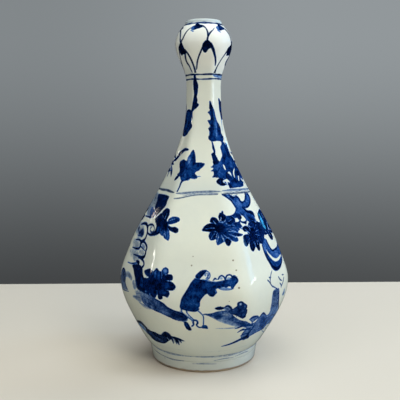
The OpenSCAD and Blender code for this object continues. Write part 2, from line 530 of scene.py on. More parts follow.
rim_outer = FOOT_RADIUS - FOOT_LEAN - FOOT_BEVEL
foot_outline = rounded([
    (FOOT_RADIUS - FOOT_WALL / 2, FOOT_SEAM), (FOOT_RADIUS - FOOT_WALL, FOOT_SEAM),
    (rim_outer - FOOT_RIM_WIDTH, 0), (rim_outer, 0), (FOOT_RADIUS - FOOT_LEAN, FOOT_BEVEL),
    (FOOT_RADIUS, FOOT_SEAM), (FOOT_RADIUS - FOOT_WALL / 2, FOOT_SEAM)], FOOT_EASE)
foot_ring = turned("foot_ring_turned", divided(foot_outline, FOOT_STEP)[:-1], FOOT_COLUMNS)
# Faint grey washes and thinned lines round the foot. The lower wash, at the step where the bowl meets the
# slab, is painted shade there as well as a thinned cobalt line.
for angle in range(0, 360, 60):
    pool(angle, [
        (-26, 13.2), (-12, 13.4), (0, 13.6), (12, 13.2), (26, 13), (26, 14.4), (10, 14.6), (-10, 14.3),
        (-26, 14.6)], 0.2, 0.8, 0.9)
    pool(angle + 25, [
        (-18, 19.4), (0, 19.2), (18, 19.6), (18, 20.6), (0, 20), (-18, 20.4)], 0.1, 0.9, 0.9)
for angle, line in (
        (20, [(-4, 10.4), (4, 11.2), (12, 10.8)]), (48, [(-8, 11.4), (0, 12.2), (7, 11.8)]),
        (-28, [(-8, 8.8), (0, 8.6), (9, 9.2)]), (-50, [(-9, 10.4), (0, 9.6), (10, 9)]),
        (4, [(-9, 7.6), (0, 7.9), (10, 7.4)]), (95, [(-7, 10.6), (2, 11.4), (8, 11)]),
        (130, [(-9, 8.6), (2, 8.2), (11, 8.8)]), (170, [(-9, 11), (0, 11.8), (7, 11.2)]),
        (215, [(-8, 8.4), (0, 8.8), (10, 8.2)]), (245, [(-6, 10.6), (3, 11), (9, 11.8)]),
        (280, [(-8, 9.4), (9, 9)])):
    stroke(angle, line, [0.4] + [1.0] * (len(line) - 2) + [0.4], 0.26, grey=0.8)
paint(foot_ring, radii(foot_ring) > FOOT_RADIUS - FOOT_PAINTED, radii(foot_ring))
finished(foot_ring, foot_glaze, "foot_porcelain", "foot_ring", "foot_slip")

# Base slab
# The round slab of porcelain that closes the vase at the bottom. It is glazed above and below, and its
# edge shows as a band over the foot ring, swept out to meet the bowl that stands on it.
BOWL_FLARE = 0.71
HALF_SLIP = (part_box("base_slab")[0].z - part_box("foot_ring")[1].z) / 2 / MM
BOWL_RADIUS = half_width("bowl_slip") - BOWL_FLARE * HALF_SLIP
SLAB_SEAM = seam("base_slab", "lower_body")
SLAB_PIN = 0.4
SLAB_EASE = 0.8
SLAB_STEP = 1.0
SLAB_PAINTED = 1
slab_outline = rounded([
    (SLAB_PIN, FOOT_SEAM), (FOOT_RADIUS, FOOT_SEAM), (BOWL_RADIUS, SLAB_SEAM),
    (SLAB_PIN, SLAB_SEAM)], SLAB_EASE)
base_slab = turned("base_slab_turned", divided(slab_outline, SLAB_STEP), FOOT_COLUMNS)
paint(base_slab, radii(base_slab) > FOOT_RADIUS - SLAB_PAINTED, radii(base_slab))
slab_glaze, *_ = glazed("slab_glaze", GLAZE_THIN, FOOT_POOLED, pool_from=26, pool_to=4, bleed=0.45)
finished(base_slab, slab_glaze, "glazed_porcelain", "base_slab", "bowl_slip")

# Bowl and shoulder
# The two halves of the six-sided body, pressed in moulds from even sheets of clay and luted at the belly.
# The garden is brushed on the raw clay in cobalt, right across the seam, and the glaze goes over it.
BODY_CRISPNESS = 12
ROUND = 2
BODY_WALL = 5.0
HAUNCH_RISE = 26.0
HAUNCH_INSET = 7.6
SPONGED = 0.06
HAUNCH_TAPER = 0.36
SHOULDER_TAPER = 0.56
BODY_COLUMNS = 720
BOWL_ROWS = (112, 10)
SHOULDER_ROWS = (124, 8)
STATION = ("Height", "Radius", "Slope", "Crispness", "Wall")
LEVELS = ("Low", "Middle", "High")
CLOSING_GAP = 1e-7


def moulding_tree():
    """Geometry nodes for a moulded piece: flat sides that swell and narrow through three stations."""
    tree = bpy.data.node_groups.new("moulded_piece", "GeometryNodeTree")
    sockets = {name: "Int" for name in ("Columns", "Outer Rows", "Inner Rows")}
    sockets.update({f"{level} {value}": "Float" for level in LEVELS for value in STATION})
    sockets["Material"] = "Material"
    for name, kind in sockets.items():
        tree.interface.new_socket(name, in_out="INPUT", socket_type="NodeSocket" + kind)
    tree.interface.new_socket("Geometry", in_out="OUTPUT", socket_type="NodeSocketGeometry")
    given = node(tree, "NodeGroupInput")
    rows, inner_rows = given["Outer Rows"], given["Inner Rows"]
    loops = rows + inner_rows + 2

    # A tube whose rows run up the outside, down the inside and back to where they began
    tube_sizes = {"Vertices": given["Columns"], "Side Segments": loops, "Radius": 1.0, "Depth": 1.0}
    tube = node(tree, "GeometryNodeMeshCylinder", tube_sizes, fill_type="NONE")["Mesh"]
    position = node(tree, "GeometryNodeInputPosition")["Position"]
    at = node(tree, "ShaderNodeSeparateXYZ", {"Vector": position})
    row = calc("MODULO", calc("ROUND", (at["Z"] + 0.5) * loops), loops)
    inside = calc("GREATER_THAN", row, rows + 0.5)
    up = mixed(inside, row / rows, (loops - 1 - row) / inner_rows)
    height = given["Low Height"] + (given["High Height"] - given["Low Height"]) * up

    # The two stations that hold this height, and how far it lies between them
    above = calc("GREATER_THAN", height, given["Middle Height"])
    start = {value: mixed(above, given["Low " + value], given["Middle " + value]) for value in STATION}
    end = {value: mixed(above, given["Middle " + value], given["High " + value]) for value in STATION}
    span = end["Height"] - start["Height"]
    share = (height - start["Height"]) / span

    def evenly(value):
        return start[value] + share * (end[value] - start[value])

    # The radius at the corners: a cubic through the stations with their slopes
    growth = end["Radius"] - start["Radius"]
    leaving = span * start["Slope"]
    both = leaving + span * end["Slope"]
    cubed = both - growth * 2
    squared = growth * 3 - (both + leaving)
    corner = start["Radius"] + share * (leaving + share * (squared + share * cubed))
    corner = corner - inside * evenly("Wall")

    # The flat sides hold the outline back between the corners, the more crisply the higher the power
    crispness = evenly("Crispness")
    angle = calc("ARCTAN2", at["X"], at["Y"] * -1)
    first, second, third = (
        calc("POWER", calc("ABSOLUTE", calc("COSINE", angle - side * math.pi / 3)), crispness)
        for side in (0, 1, 2))
    corner_pull = calc("POWER", math.cos(math.pi / 6), crispness) * 2
    radius = corner * calc("POWER", corner_pull / (first + second + third), 1 / crispness)
    moved = node(
        tree, "ShaderNodeCombineXYZ", {"X": radius * at["X"], "Y": radius * at["Y"], "Z": height})
    numbered = node(
        tree, "GeometryNodeStoreNamedAttribute", {"Geometry": tube, "Name": "row", "Value": row},
        data_type="FLOAT", domain="POINT")
    shaped = node(
        tree, "GeometryNodeSetPosition", {"Geometry": numbered["Geometry"], "Position": moved["Vector"]})
    closed = node(
        tree, "GeometryNodeMergeByDistance", {"Geometry": shaped["Geometry"], "Distance": CLOSING_GAP})
    real = node(tree, "GeometryNodeRealizeInstances", {"Geometry": closed["Geometry"]})
    dressed = node(
        tree, "GeometryNodeSetMaterial", {"Geometry": real["Geometry"], "Material": given["Material"]})
    node(tree, "NodeGroupOutput", {"Geometry": dressed["Geometry"]})
    return tree


moulding = moulding_tree()
OUTER_SHARE = 0.86
INNER_FROM = 0.89
MAP_SHARE = 0.99
MAP_MARGIN = 0.004


def unrolled(piece, rows, outer_rows):
    """Lays the outer wall out flat over most of the map, and the inner wall in a strip above it."""
    mesh = piece.data
    x, y, _ = points_of(piece)
    turn = np.arctan2(x, -y) / (2 * math.pi) + 0.5
    corner = np.empty(len(mesh.loops), int)
    mesh.loops.foreach_get("vertex_index", corner)
    quads = corner.reshape(-1, 4)
    u = turn[quads]
    u[(u.max(1) - u.min(1) > 0.5)[:, None] & (u < 0.5)] += 1
    last = rows.max() + 1
    row = rows[quads].astype(float)
    row[(row.max(1) > outer_rows + 1)[:, None] & (row == 0)] = last
    outer = row.max(1) <= outer_rows
    inner_v = INNER_FROM + (row - outer_rows) / (last - outer_rows) * (MAP_SHARE - INNER_FROM)
    v = np.where(outer[:, None], row / outer_rows * OUTER_SHARE, inner_v)
    layer = mesh.uv_layers.new(name="OFBake")
    flat = np.stack([u * MAP_SHARE, v + MAP_MARGIN], -1)
    layer.uv.foreach_set("vector", flat.astype(np.float32).ravel())


def halfway(low, high):
    """The station halfway between two, on the same curve."""
    span = high[0] - low[0]
    growth = high[1] - low[1]
    middle = [(a + b) / 2 for a, b in zip(low, high)]
    middle[1] += span * (low[2] - high[2]) / 8
    middle[2] = 1.5 * growth / span - (low[2] + high[2]) / 4
    return tuple(middle)


def moulded(name, stations, columns, row_counts, material, *nodes):
    """A moulded piece through three stations in mm, with rows outside and inside, painted and finished."""
    piece = placed(name, bpy.data.meshes.new(name))
    press = piece.modifiers.new("moulded", "NODES")
    press.node_group = moulding
    outer_rows, inner_rows = row_counts
    values = {"Columns": columns, "Outer Rows": outer_rows, "Inner Rows": inner_rows}
    values["Material"] = material
    for level, station in zip(LEVELS, stations):
        for value, size in zip(STATION, station):
            in_mm = value in ("Height", "Radius", "Wall")
            values[f"{level} {value}"] = float(size * MM if in_mm else size)
    for item in moulding.interface.items_tree:
        if item.in_out == "INPUT":
            press[item.identifier] = values[item.name]
    graph = bpy.context.evaluated_depsgraph_get()
    mesh = bpy.data.meshes.new_from_object(piece.evaluated_get(graph), depsgraph=graph)
    piece.modifiers.clear()
    piece.data = mesh
    mesh.name = name
    rows = np.empty(len(mesh.vertices))
    mesh.attributes["row"].data.foreach_get("value", rows)
    mesh.attributes.remove(mesh.attributes["row"])
    rows = rows.round().astype(int)
    girth = (np.bincount(rows, radii(piece)) / np.bincount(rows))[rows]
    unrolled(piece, rows, outer_rows)
    paint(piece, rows <= outer_rows, girth)
    finished(piece, material, "glazed_porcelain", *nodes)


FRONT = 0
SIDES = (FRONT, 180)


def blossom(place, petals, heart, dark_lines, pale_lines):
    """A full flower head: petals of a depth and an outline each, pale gaps, and a lined dark heart."""
    for tone, outline in petals:
        reserve(place, outline + outline[:1], 0.4)
        wash(place, outline, tone)
    pool(place, heart, 0.98, 0.9)
    for line in pale_lines:
        reserve(place, line, [0.5] + [0.4] * (len(line) - 1))
    for line in dark_lines:
        stroke(place, line, [0.9] + [0.5] * (len(line) - 1), 0.95)


def hanging_rock(place):
    """A garden rock hung from the shoulder line, eaten into scrolls, with two flower heads before it."""
    for tone, shade in (
            (0.3, [(-64, 134), (-56, 136), (-54, 128), (-58, 121), (-64, 122), (-66, 128)]),
            (0.2, [(-84, 110), (-76, 114), (-66, 113), (-61, 108), (-66, 103), (-76, 104)]),
            (0.2, [(-82, 100), (-72, 101), (-63, 100), (-64, 96), (-72, 95.4), (-80, 96)]),
            (0.16, [(-84, 92), (-74, 93.4), (-62, 92), (-62, 88), (-72, 86.6), (-82, 88)])):
        pool(place, shade, tone, 3.0, 0.8)
    pool(place, [(-57, 137.6), (-51, 138), (-49, 133), (-51, 128.6), (-57, 128.4)], 0.36, 1.6, 0.9)
    wash(place, [
        (-51, 137.6), (-46, 138.4), (-34, 138.6), (-28.4, 138.2), (-27.6, 137.4), (-29, 135),
        (-29.6, 132), (-31, 130.3), (-34, 128.3), (-38, 125.6), (-43, 122.4), (-48, 124), (-50.6, 128),
        (-50, 133)], 0.95)
    for streak in ([(-58, 134.8), (-54, 134.4), (-49, 135)], [(-58, 131), (-53, 130.6), (-49, 131.4)]):
        stroke(place, streak, [0.5, 1.2, 0.8], 0.5, grey=0.9)
    wash(place, [
        (-58, 127), (-54, 127.4), (-49.6, 125), (-47, 121.6), (-52, 120), (-58, 122)], 0.9,
        ((-51, 122), (-58, 125), 0.5))
    stroke(place, [(-66, 119.8), (-60, 119.9), (-53, 120.4), (-46, 123)], [0.7, 1.2, 1.6, 1.2], 0.9)
    blossom(place, petals=[
        (0.95, [(-30, 128.6), (-28, 129.5), (-26, 129.6), (-24, 128.6), (-23.8, 126), (-24.6, 123.5),
            (-27, 120), (-33, 121.6), (-33.6, 125.4)]),
        (0.7, [(-24.5, 121.5), (-22, 123.6), (-19, 124.2), (-16.4, 123.6), (-15.4, 122.4), (-16.2, 120.8),
            (-19, 119.5), (-23, 118.6)]),
        (0.97, [(-24, 117.6), (-21, 116.6), (-18.4, 116.8), (-16.4, 115.6), (-16.2, 113.8),
            (-17.6, 112.6), (-19.6, 113), (-21.4, 113.6), (-24, 115)]),
        (0.66, [(-26.6, 115), (-27.2, 112), (-27, 109), (-25, 107.8), (-23.2, 107), (-22.4, 109.6),
            (-22.6, 113), (-24, 115.4)]),
        (0.64, [(-31.5, 114), (-30.6, 110.8), (-28, 109.8), (-27, 111.6), (-27.4, 114.6)]),
        (0.95, [(-30, 113), (-33, 110.6), (-38, 108.8), (-43, 108.4), (-44.4, 109.6), (-40, 111.4),
            (-38.6, 113.4), (-38, 115.6), (-35, 116.6), (-31, 116)]),
        (0.95, [(-44, 120.6), (-40, 122.6), (-34, 125.4), (-30, 122), (-31, 118), (-37, 117.4),
            (-42, 118)])
    ], heart=[
        (-32.6, 117.4), (-30, 121), (-26.6, 121), (-24, 118.6), (-24.6, 115.4), (-28, 113.8),
        (-31.6, 114.6)
    ], dark_lines=[
        [(-25, 119.6), (-21, 121.4), (-18, 122.4)], [(-24, 119), (-20, 120.6)],
        [(-25.4, 114), (-24.6, 110)]
    ], pale_lines=[
        [(-23, 121), (-19, 122.6)], [(-26.2, 113), (-25.6, 109.4)], [(-28, 122), (-26.4, 126)]])
    reserve(place, [(-29.4, 130.2), (-34, 127.6), (-40, 123.4), (-44.5, 120.4)], 0.9)
    wash(place, [
        (-41, 118.4), (-36, 120), (-30, 119.6), (-29, 114.4), (-33, 114.6), (-37, 115.4), (-39.4, 116.8)],
        0.96)
    for patch in (
            [(-35.4, 115.4), (-33.6, 115.2), (-34.4, 111.8), (-36, 112.4)],
            [(-31.6, 114.4), (-30.4, 114), (-30.6, 111.4), (-31.8, 112)]):
        pool(place, patch, 0.7, 0.6)
    # Scrolls, from the top one down
    stroke(place, [
        (-57, 113.2), (-52, 114.8), (-47, 115.6), (-43, 115), (-40.8, 113.2), (-41.8, 111.2),
        (-45, 110.6), (-48.4, 111.4), (-49, 112.8), (-46.6, 113.4)],
        [1.0, 1.5, 1.3, 1.1, 1.0, 0.9, 0.8, 0.8, 0.8, 0.5], 0.88, grey=0.4)
    stroke(place, [(-38, 110.5), (-43, 109), (-48, 108.3), (-54, 109)], [2.2, 2.2, 1.6, 1.0], 0.95)
    stroke(place, [
        (-71, 112.8), (-68, 113.6), (-65, 114.3), (-60, 114.5), (-56, 113), (-54, 110.5), (-53.4, 107),
        (-55, 104), (-58, 102.4), (-62, 101.4), (-68, 101.8), (-75, 100.8)],
        [1.0, 1.6, 2.0, 2.2, 2.4, 2.4, 2.4, 2.2, 2.0, 1.8, 1.4, 0.8], 0.93)
    pool(place, [
        (-76, 110), (-67, 110.8), (-63, 109.8), (-60.2, 107.4), (-62, 105.2), (-67, 105), (-72, 106)],
        0.84, 1.2, 0.4)
    stroke(place, [(-73, 104.4), (-67, 104.8), (-63.6, 104.6)], [0.6, 0.9, 0.5], 0.85)
    for shade in (
            [(-72, 113), (-68, 114), (-64, 112), (-68, 109), (-72, 108)],
            [(-76, 98), (-66, 100), (-62, 96), (-70, 94)],
            [(-62, 94.6), (-54, 96), (-51, 93.6), (-58, 92)],
            [(-74, 91), (-64, 92), (-60, 88), (-70, 86)]):
        pool(place, shade, 0.22, 1.8, 0.9)
    stroke(place, [
        (-55, 103.6), (-59, 102), (-62, 99.5), (-62, 97.5), (-65, 95.6), (-72, 94.6), (-79, 94.4)],
        [1.4, 2.6, 3.0, 2.4, 2.0, 1.4, 0.8], 0.94)
    stroke(place, [
        (-58, 101.4), (-54, 101.6), (-50, 100.4), (-47.8, 98.8), (-48.4, 96.6), (-48.6, 94), (-50, 92),
        (-53, 91), (-58, 90.4), (-66, 90.2), (-74, 89.8)],
        [1.0, 1.6, 2.0, 2.4, 2.4, 2.4, 2.4, 2.2, 2.0, 1.4, 0.8], 0.93)
    pool(place, [(-59, 99.6), (-54, 99.8), (-51.4, 98.4), (-53, 97.6), (-58, 98)], 0.26, 0.8, 0.6)
    stroke(place, [(-60, 97.6), (-55, 97), (-51, 96.4)], [1.0, 0.9, 0.5], 0.9)
    stroke(place, [
        (-62, 89.4), (-56, 89.6), (-50, 88.8), (-48, 87), (-49, 85.2), (-51, 84.4)],
        [0.8, 1.3, 1.7, 2.0, 1.8, 1.4], 0.94)
    wash(place, [(-66, 86.4), (-61, 87.6), (-57, 86.8), (-58, 85.2), (-62, 85)], 0.95)
    stroke(place, [(-84, 82.2), (-75, 82.8), (-66, 84.6), (-60, 86.4)], [0.5, 1.0, 1.4, 1.2], 0.62)
    wash(place, [
        (-72, 82), (-65, 84), (-58, 85), (-50, 84), (-47.5, 80.5), (-45, 78.6), (-41, 77), (-39, 72),
        (-40, 67), (-45, 66.6), (-50, 67), (-56, 68), (-60, 71), (-62, 74.5), (-65.6, 77.4), (-68, 79.6)],
        0.95)
    for patch in (
            [(-49, 77.4), (-45.6, 77), (-46, 74.6), (-49, 75)],
            [(-50, 72.8), (-45.6, 73), (-46, 71), (-50, 71)]):
        pool(place, patch, 0.72, 0.9)
    reserve(place, [(-56, 88.4), (-52.6, 87.6), (-52, 86), (-55, 85.4)], 0.9)
    pool(place, [(-66, 71), (-60, 72), (-57, 69), (-60, 66.4), (-65, 67)], 0.3, 2.0, 0.7)
    wash(place, [
        (-45.6, 82.4), (-43, 84), (-40, 85.2), (-37.4, 85.8), (-35, 84.8), (-33.4, 84.9), (-32.2, 86.6),
        (-30.9, 87.1), (-29.7, 86), (-28.6, 84.8), (-27.5, 85.6), (-26, 87.3), (-24.4, 88), (-22.6, 87.1),
        (-22, 85), (-22.8, 83.2), (-21.2, 83.5), (-19.5, 82.6), (-18.8, 80.8), (-19.4, 79.2),
        (-21.4, 78.4), (-19.4, 77.9), (-17.5, 76.2), (-16.7, 74.6), (-17.3, 72.8), (-19.3, 71.6),
        (-21.6, 71.5), (-21.2, 70), (-21.5, 67.8), (-22.8, 66.4), (-24.4, 67.1), (-26, 67.4),
        (-26.5, 65.4), (-28, 64.6), (-29.4, 65.6), (-30.2, 68.4), (-31, 66.6), (-32.4, 65.4),
        (-34.4, 65.6), (-35.6, 67.2), (-37, 65.6), (-40, 65), (-43, 66.6), (-45, 70), (-45, 77),
        (-42, 78.6), (-38.4, 79.6), (-42, 80.4)], 0.93)
    for tone, soft, patch in (
            (0.62, 0.6, [(-32.8, 85), (-31.6, 84.8), (-31.8, 81), (-33, 81)]),
            (0.7, 0.6, [(-30, 84.6), (-28.4, 84.4), (-28.4, 79.6), (-30, 79.6)]),
            (0.5, 0.7, [(-26.4, 86), (-24.4, 87.4), (-22.8, 86), (-24, 83.4), (-25.6, 83.4)]),
            (0.74, 0.7, [(-24.6, 77), (-22.4, 76.6), (-22.4, 73), (-24.4, 73.4)]),
            (0.82, 0.8, [(-28, 71.6), (-24.4, 71.6), (-24, 69), (-27.6, 69)]),
            (0.8, 0.8, [(-37, 83.6), (-34, 83.6), (-34, 80.6), (-37, 81)]),
            (0.99, 1.2, [(-34, 78), (-30, 79), (-27, 77), (-28, 74), (-32, 73.4)]),
            (0.99, 0.7, [(-23.6, 82), (-20, 82.4), (-20, 80), (-23.6, 80)]),
            (0.99, 0.7, [(-20.4, 76.6), (-17.8, 75), (-19, 72.8), (-20.6, 73.4)]),
            (0.42, 0.6, [(-42, 69), (-40.6, 69.8), (-39.6, 69), (-41, 68.2)]),
            (0.34, 0.5, [(-37.2, 67.8), (-36.2, 68.4), (-35.6, 67.4), (-36.6, 66.8)])):
        pool(place, patch, tone, soft)
    for line, breadth in (
            ([(-46.6, 80.8), (-44, 79.6), (-41, 79.1), (-38.4, 79.8)], [1.4, 1.5, 1.2, 0.4]),
            ([(-27.4, 85.4), (-27, 82.6), (-27.2, 80)], [0.5, 0.4, 0.2]),
            ([(-20.6, 78.4), (-24, 78.9)], [0.6, 0.3]), ([(-21, 71.6), (-24, 72.2)], [0.5, 0.3]),
            ([(-30.2, 67.6), (-30.4, 71.4)], [0.5, 0.3]), ([(-34.6, 84.9), (-34.4, 82)], [0.5, 0.3]),
            ([(-22.6, 83.6), (-24.6, 82.6)], [0.5, 0.3])):
        reserve(place, line, breadth)
    pool(place, [
        (-86, 73.6), (-77, 75.6), (-69, 73.4), (-70, 71.4), (-78, 72.4), (-85, 71.4)], 0.42, 1.2, 0.8)
    low_rock = [
        (-103, 61), (-101.6, 66), (-98, 69), (-96.6, 73), (-92, 75.6), (-88, 75.2), (-85.4, 72.4),
        (-84.8, 67), (-82, 63.6), (-78, 61.4)]
    wash(place, low_rock + [(-86, 60), (-95, 59.4)], 0.4, grey=0.6)
    pool(place, [
        (-92, 74), (-88, 75.4), (-85, 72.6), (-84.6, 67.6), (-88, 65.6), (-92, 67)], 0.72, 1.4, 0.7)
    stroke(place, low_rock, [0.6, 1.2, 0.9, 1.4, 1.6, 1.2, 1.4, 1.0, 0.9, 0.5], 0.85, grey=0.4)
    stroke(place, [
        (-108, 58.6), (-98, 58.2), (-88, 58.8), (-76, 60.4)], [0.4, 1.2, 1.2, 0.4], 0.5, grey=0.6)
    for line in ([(-97, 70), (-95, 65), (-96, 61.6)], [(-90, 66), (-91.6, 62)], [(-86, 66), (-88, 62.4)]):
        stroke(place, line, [0.8, 1.2, 0.4][:len(line)], 0.7, grey=0.5)


def sloping_bank(place):
    """The bank of earth under the rock, that runs down towards the figure."""
    for tone, patch in (
            (0.3, [(-66, 59), (-58, 61.6), (-50, 64.6), (-46, 62), (-50, 58.4), (-58, 58.6)]),
            (0.34, [(-60, 64), (-52, 66.6), (-46, 67), (-48, 63.6)]),
            (0.22, [(-50, 57), (-42, 57.6), (-34, 56), (-42, 55)])):
        pool(place, patch, tone, 1.8, 0.8)
    wash(place, [
        (-49, 66.4), (-44, 67.6), (-38, 67), (-33, 65.6), (-30, 64), (-26, 61.6), (-23, 58.8),
        (-18, 56.2), (-14, 55), (-10, 53), (-8.4, 50.5), (-9.4, 48), (-13, 47.8), (-17, 48.6),
        (-22, 50.8), (-27, 53.2), (-32, 54.8), (-38, 56.4), (-43, 58), (-47, 60.4)], 0.66,
        ((-30, 60), (-48, 63), 0.34), grey=0.3)
    pool(place, [(-19, 55.4), (-12, 53.4), (-9, 50.6), (-10, 48.6), (-15, 49.4), (-20, 52)], 0.9, 2.0)
    stroke(place, [
        (-33, 65.2), (-30, 63.8), (-26, 61.5), (-23, 58.7), (-18, 56.1), (-14, 54.9), (-10, 52.9),
        (-8.6, 50.6)], [0.6, 1.0, 1.2, 1.2, 1.2, 1.4, 1.6, 1.2], 0.93)
    for tone, line in (
            (0.42, [(-64, 59.4), (-56, 60.8), (-47, 62.6)]),
            (0.46, [(-58, 63.4), (-50, 65.2), (-43, 66)]), (0.74, [(-44, 64.6), (-36, 63), (-29, 59.6)]),
            (0.72, [(-42, 60.4), (-34, 59), (-25, 55)]), (0.32, [(-52, 57.2), (-44, 57.4), (-35, 56)])):
        stroke(place, line, [0.5, 1.2, 0.6], tone, grey=0.5)
    wash(place, [
        (-10.6, 47), (-8.6, 47.4), (-7, 45), (-6, 43), (-5.2, 40.4), (-7, 40), (-9, 41.4), (-10.4, 44.4)],
        0.88)


def low_plant(place):
    """A plant that trails along the ground near the foot."""
    stroke(place, [
        (-73, 31), (-70, 33.2), (-65, 35), (-58, 36.6), (-53, 36), (-48, 34)],
        [0.9, 1.8, 2.6, 3.0, 3.2, 3.0], 0.8, grey=0.7)
    pool(place, [(-66, 33), (-58, 34.6), (-50, 33), (-48, 28), (-54, 30), (-62, 30.4)], 0.3, 1.8)
    wash(place, [
        (-51, 30), (-48, 34), (-42, 33.6), (-36, 33.8), (-32, 32.8), (-29.4, 34), (-27.6, 36.4),
        (-25, 37), (-22.6, 35.6), (-21.4, 33), (-22, 30), (-24.4, 28), (-27, 25.4), (-30, 23.6),
        (-36, 23), (-42, 24), (-45, 25.6), (-48, 28)], 0.84, grey=0.55)
    pool(place, [(-46, 31.4), (-40, 30.8), (-33, 28), (-34, 26.4), (-40, 27.2), (-46, 29.4)], 0.62, 1.1)
    pool(place, [(-29, 34), (-26, 36.2), (-23, 35), (-22.6, 32), (-27, 32)], 0.95, 1.0)
    for line, breadth in (
            ([(-23.4, 32), (-21, 30), (-20.4, 26.4)], [1.8, 1.8, 0.6]),
            ([(-22, 33), (-18.6, 31.6), (-16.6, 28.6), (-15.6, 25.6)], [1.4, 2.2, 1.8, 0.6]),
            ([(-19, 32.6), (-15.4, 31.2), (-11.6, 29.8)], [1.2, 1.8, 0.7]),
            ([(-18, 30), (-17.8, 26.4)], [1.6, 0.6]), ([(-15, 30.6), (-13.6, 28)], [1.4, 0.5])):
        stroke(place, line, breadth, 0.9, grey=0.5)
    for line in ([(-53, 33), (-50.6, 31), (-50, 29)], [(-25.6, 31.4), (-23.6, 28.8)]):
        reserve(place, line, 0.5)


def attendant(place):
    """A servant in a short robe, with a tray of fruit held out in both hands."""
    back = [
        (-2.4, 80.4), (-4.8, 77.6), (-6.6, 74.4), (-9, 70.4), (-11.6, 66), (-12.6, 62), (-13, 60),
        (-12.4, 58.4)]
    hem = [(-9.6, 57.6), (-5, 56.8), (-1.6, 56.6), (0.6, 58)]
    front = [
        (1.4, 60.8), (1.6, 64.4), (3.6, 67.6), (6, 70), (7.6, 70.6), (8.4, 70), (9.6, 69), (11.6, 68.6),
        (12.6, 69.6), (13, 71.4), (12.8, 73), (13.6, 74.2)]
    under_arm = [(16, 74.6), (20, 75.4), (22, 75.2)]
    over_arm = [(22, 80), (18, 79.2), (14, 78.4), (10, 78.6), (7, 79), (3.6, 79.8)]
    wash(place, back + hem + front + under_arm + over_arm, 0.86, ((0, 76), (-5, 62), 0.74))
    pool(place, [(3, 76.6), (9, 77), (14, 76.6), (10, 74.6), (4, 73.6)], 0.74, 1.2)
    pool(place, [(-11.6, 61), (-6, 60.4), (-1, 60), (0, 58.6), (-5, 57.6), (-11.6, 59)], 0.84, 1.2)
    stroke(place, back + hem, [0.7, 0.9, 1.1, 1.2, 1.3, 1.2, 1.1, 1.0, 1.2, 1.4, 1.2, 0.9], 0.96)
    stroke(place, front + under_arm, [
        0.8, 0.8, 0.9, 1.0, 1.0, 1.1, 1.4, 1.4, 1.2, 1.0, 0.9, 0.8, 0.8, 0.7, 0.6], 0.96)
    stroke(place, over_arm, 0.5, 0.85)
    stroke(place, [(13, 73.6), (13.8, 72.6), (14.4, 71), (13.4, 70)], 0.6, 0.8)
    for fold in (
            [(-2, 77.6), (-5, 70), (-6.6, 61)], [(0.6, 75.4), (-1.4, 69), (-2.4, 60)],
            [(3.4, 77), (7.4, 74.6), (10.6, 70.4)], [(-8.6, 69), (-9.8, 64), (-9.6, 60)],
            [(8, 77.6), (10.6, 74), (11.6, 70.6)]):
        stroke(place, fold, [0.4, 0.7, 0.4], 0.97)
    tray = [
        (20, 75.2), (24, 75.4), (25.4, 73.8), (26.2, 74.8), (27.6, 77), (28.8, 78.6), (29, 79.8),
        (28.2, 81.2), (26.8, 81.8), (25, 81.6), (22, 80.4)]
    wash(place, tray, 0.66)
    stroke(place, tray[2:10], [0.5, 0.8, 1.1, 1.4, 1.5, 1.2, 0.8, 0.5], 0.95)
    pool(place, [(16, 74.2), (22, 74.4), (25, 73.8), (20, 73.2)], 0.2, 0.6)
    stroke(place, [(16, 73.8), (19, 73), (23, 73), (26, 73.6)], [0.3, 0.5, 0.5, 0.4], 0.7)
    for fruit in (
            [(15.6, 80.6), (16.4, 82.2), (18, 83), (19.6, 82), (20.4, 80.6)],
            [(12.2, 80), (13, 81), (14, 80.6)],
            [(21, 81.4), (21.6, 83), (23.4, 83.6), (25, 82.8), (25.4, 81.2)],
            [(25.8, 82.2), (26.6, 82.8), (27.6, 82.4)]):
        stroke(place, fruit, 0.85, 0.93)
    for x in (17.6, 23):
        pool(place, [(x - 1.2, 80.8), (x, 81.8), (x + 1.2, 80.8), (x, 80.2)], 0.2, 0.6)
    # Head with the hair tied back, and a plain face of a few short strokes
    wash(place, [
        (-2, 82.2), (0, 84.6), (2.4, 86.2), (5, 86.8), (6.8, 86.6), (6.4, 85.6), (4.6, 83.6), (3, 82),
        (1.6, 80.6), (-0.6, 80.6)], 0.85)
    stroke(place, [(6.6, 86.2), (8.8, 84.8), (9.4, 82.6), (8.4, 80.8), (6.2, 79.8), (3.4, 80)], 0.45, 0.8)
    for line in (
            [(5.2, 83.9), (6.3, 84.1)], [(7.7, 84), (8.6, 83.7)], [(5.3, 83), (6.2, 83)],
            [(7.7, 82.9), (8.5, 82.8)], [(7.3, 83), (7.6, 81.9), (7.1, 81.7)],
            [(6.4, 80.9), (7.4, 80.9)]):
        stroke(place, line, 0.35, 0.85)
    # Bare legs and cloth shoes
    for leg in (
            [(-9, 57.4), (-8, 54.6), (-5.6, 51.8), (-3, 49.4)],
            [(-12.6, 58.6), (-12.2, 55.6), (-9, 52.6), (-4.6, 49)],
            [(0, 57), (1.6, 55.6), (3.4, 53.8), (4.4, 52), (4.4, 48), (4.2, 45.2)]):
        stroke(place, leg, 0.8, 0.62)
    stroke(place, [
        (-4.4, 44), (-3.4, 45.2), (-3.6, 47), (-3.4, 48.6), (-2, 49), (-0.6, 48.4), (-0.2, 46.6),
        (-1, 45.4)], 1.3, 0.78)
    stroke(place, [(-1, 44.6), (0.6, 43), (2.6, 43), (4, 44)], 1.1, 0.78)
    wash(place, [(3.6, 44.8), (5, 45), (6.6, 44.6), (7.6, 42), (5, 42), (3, 42.4)], 0.75)


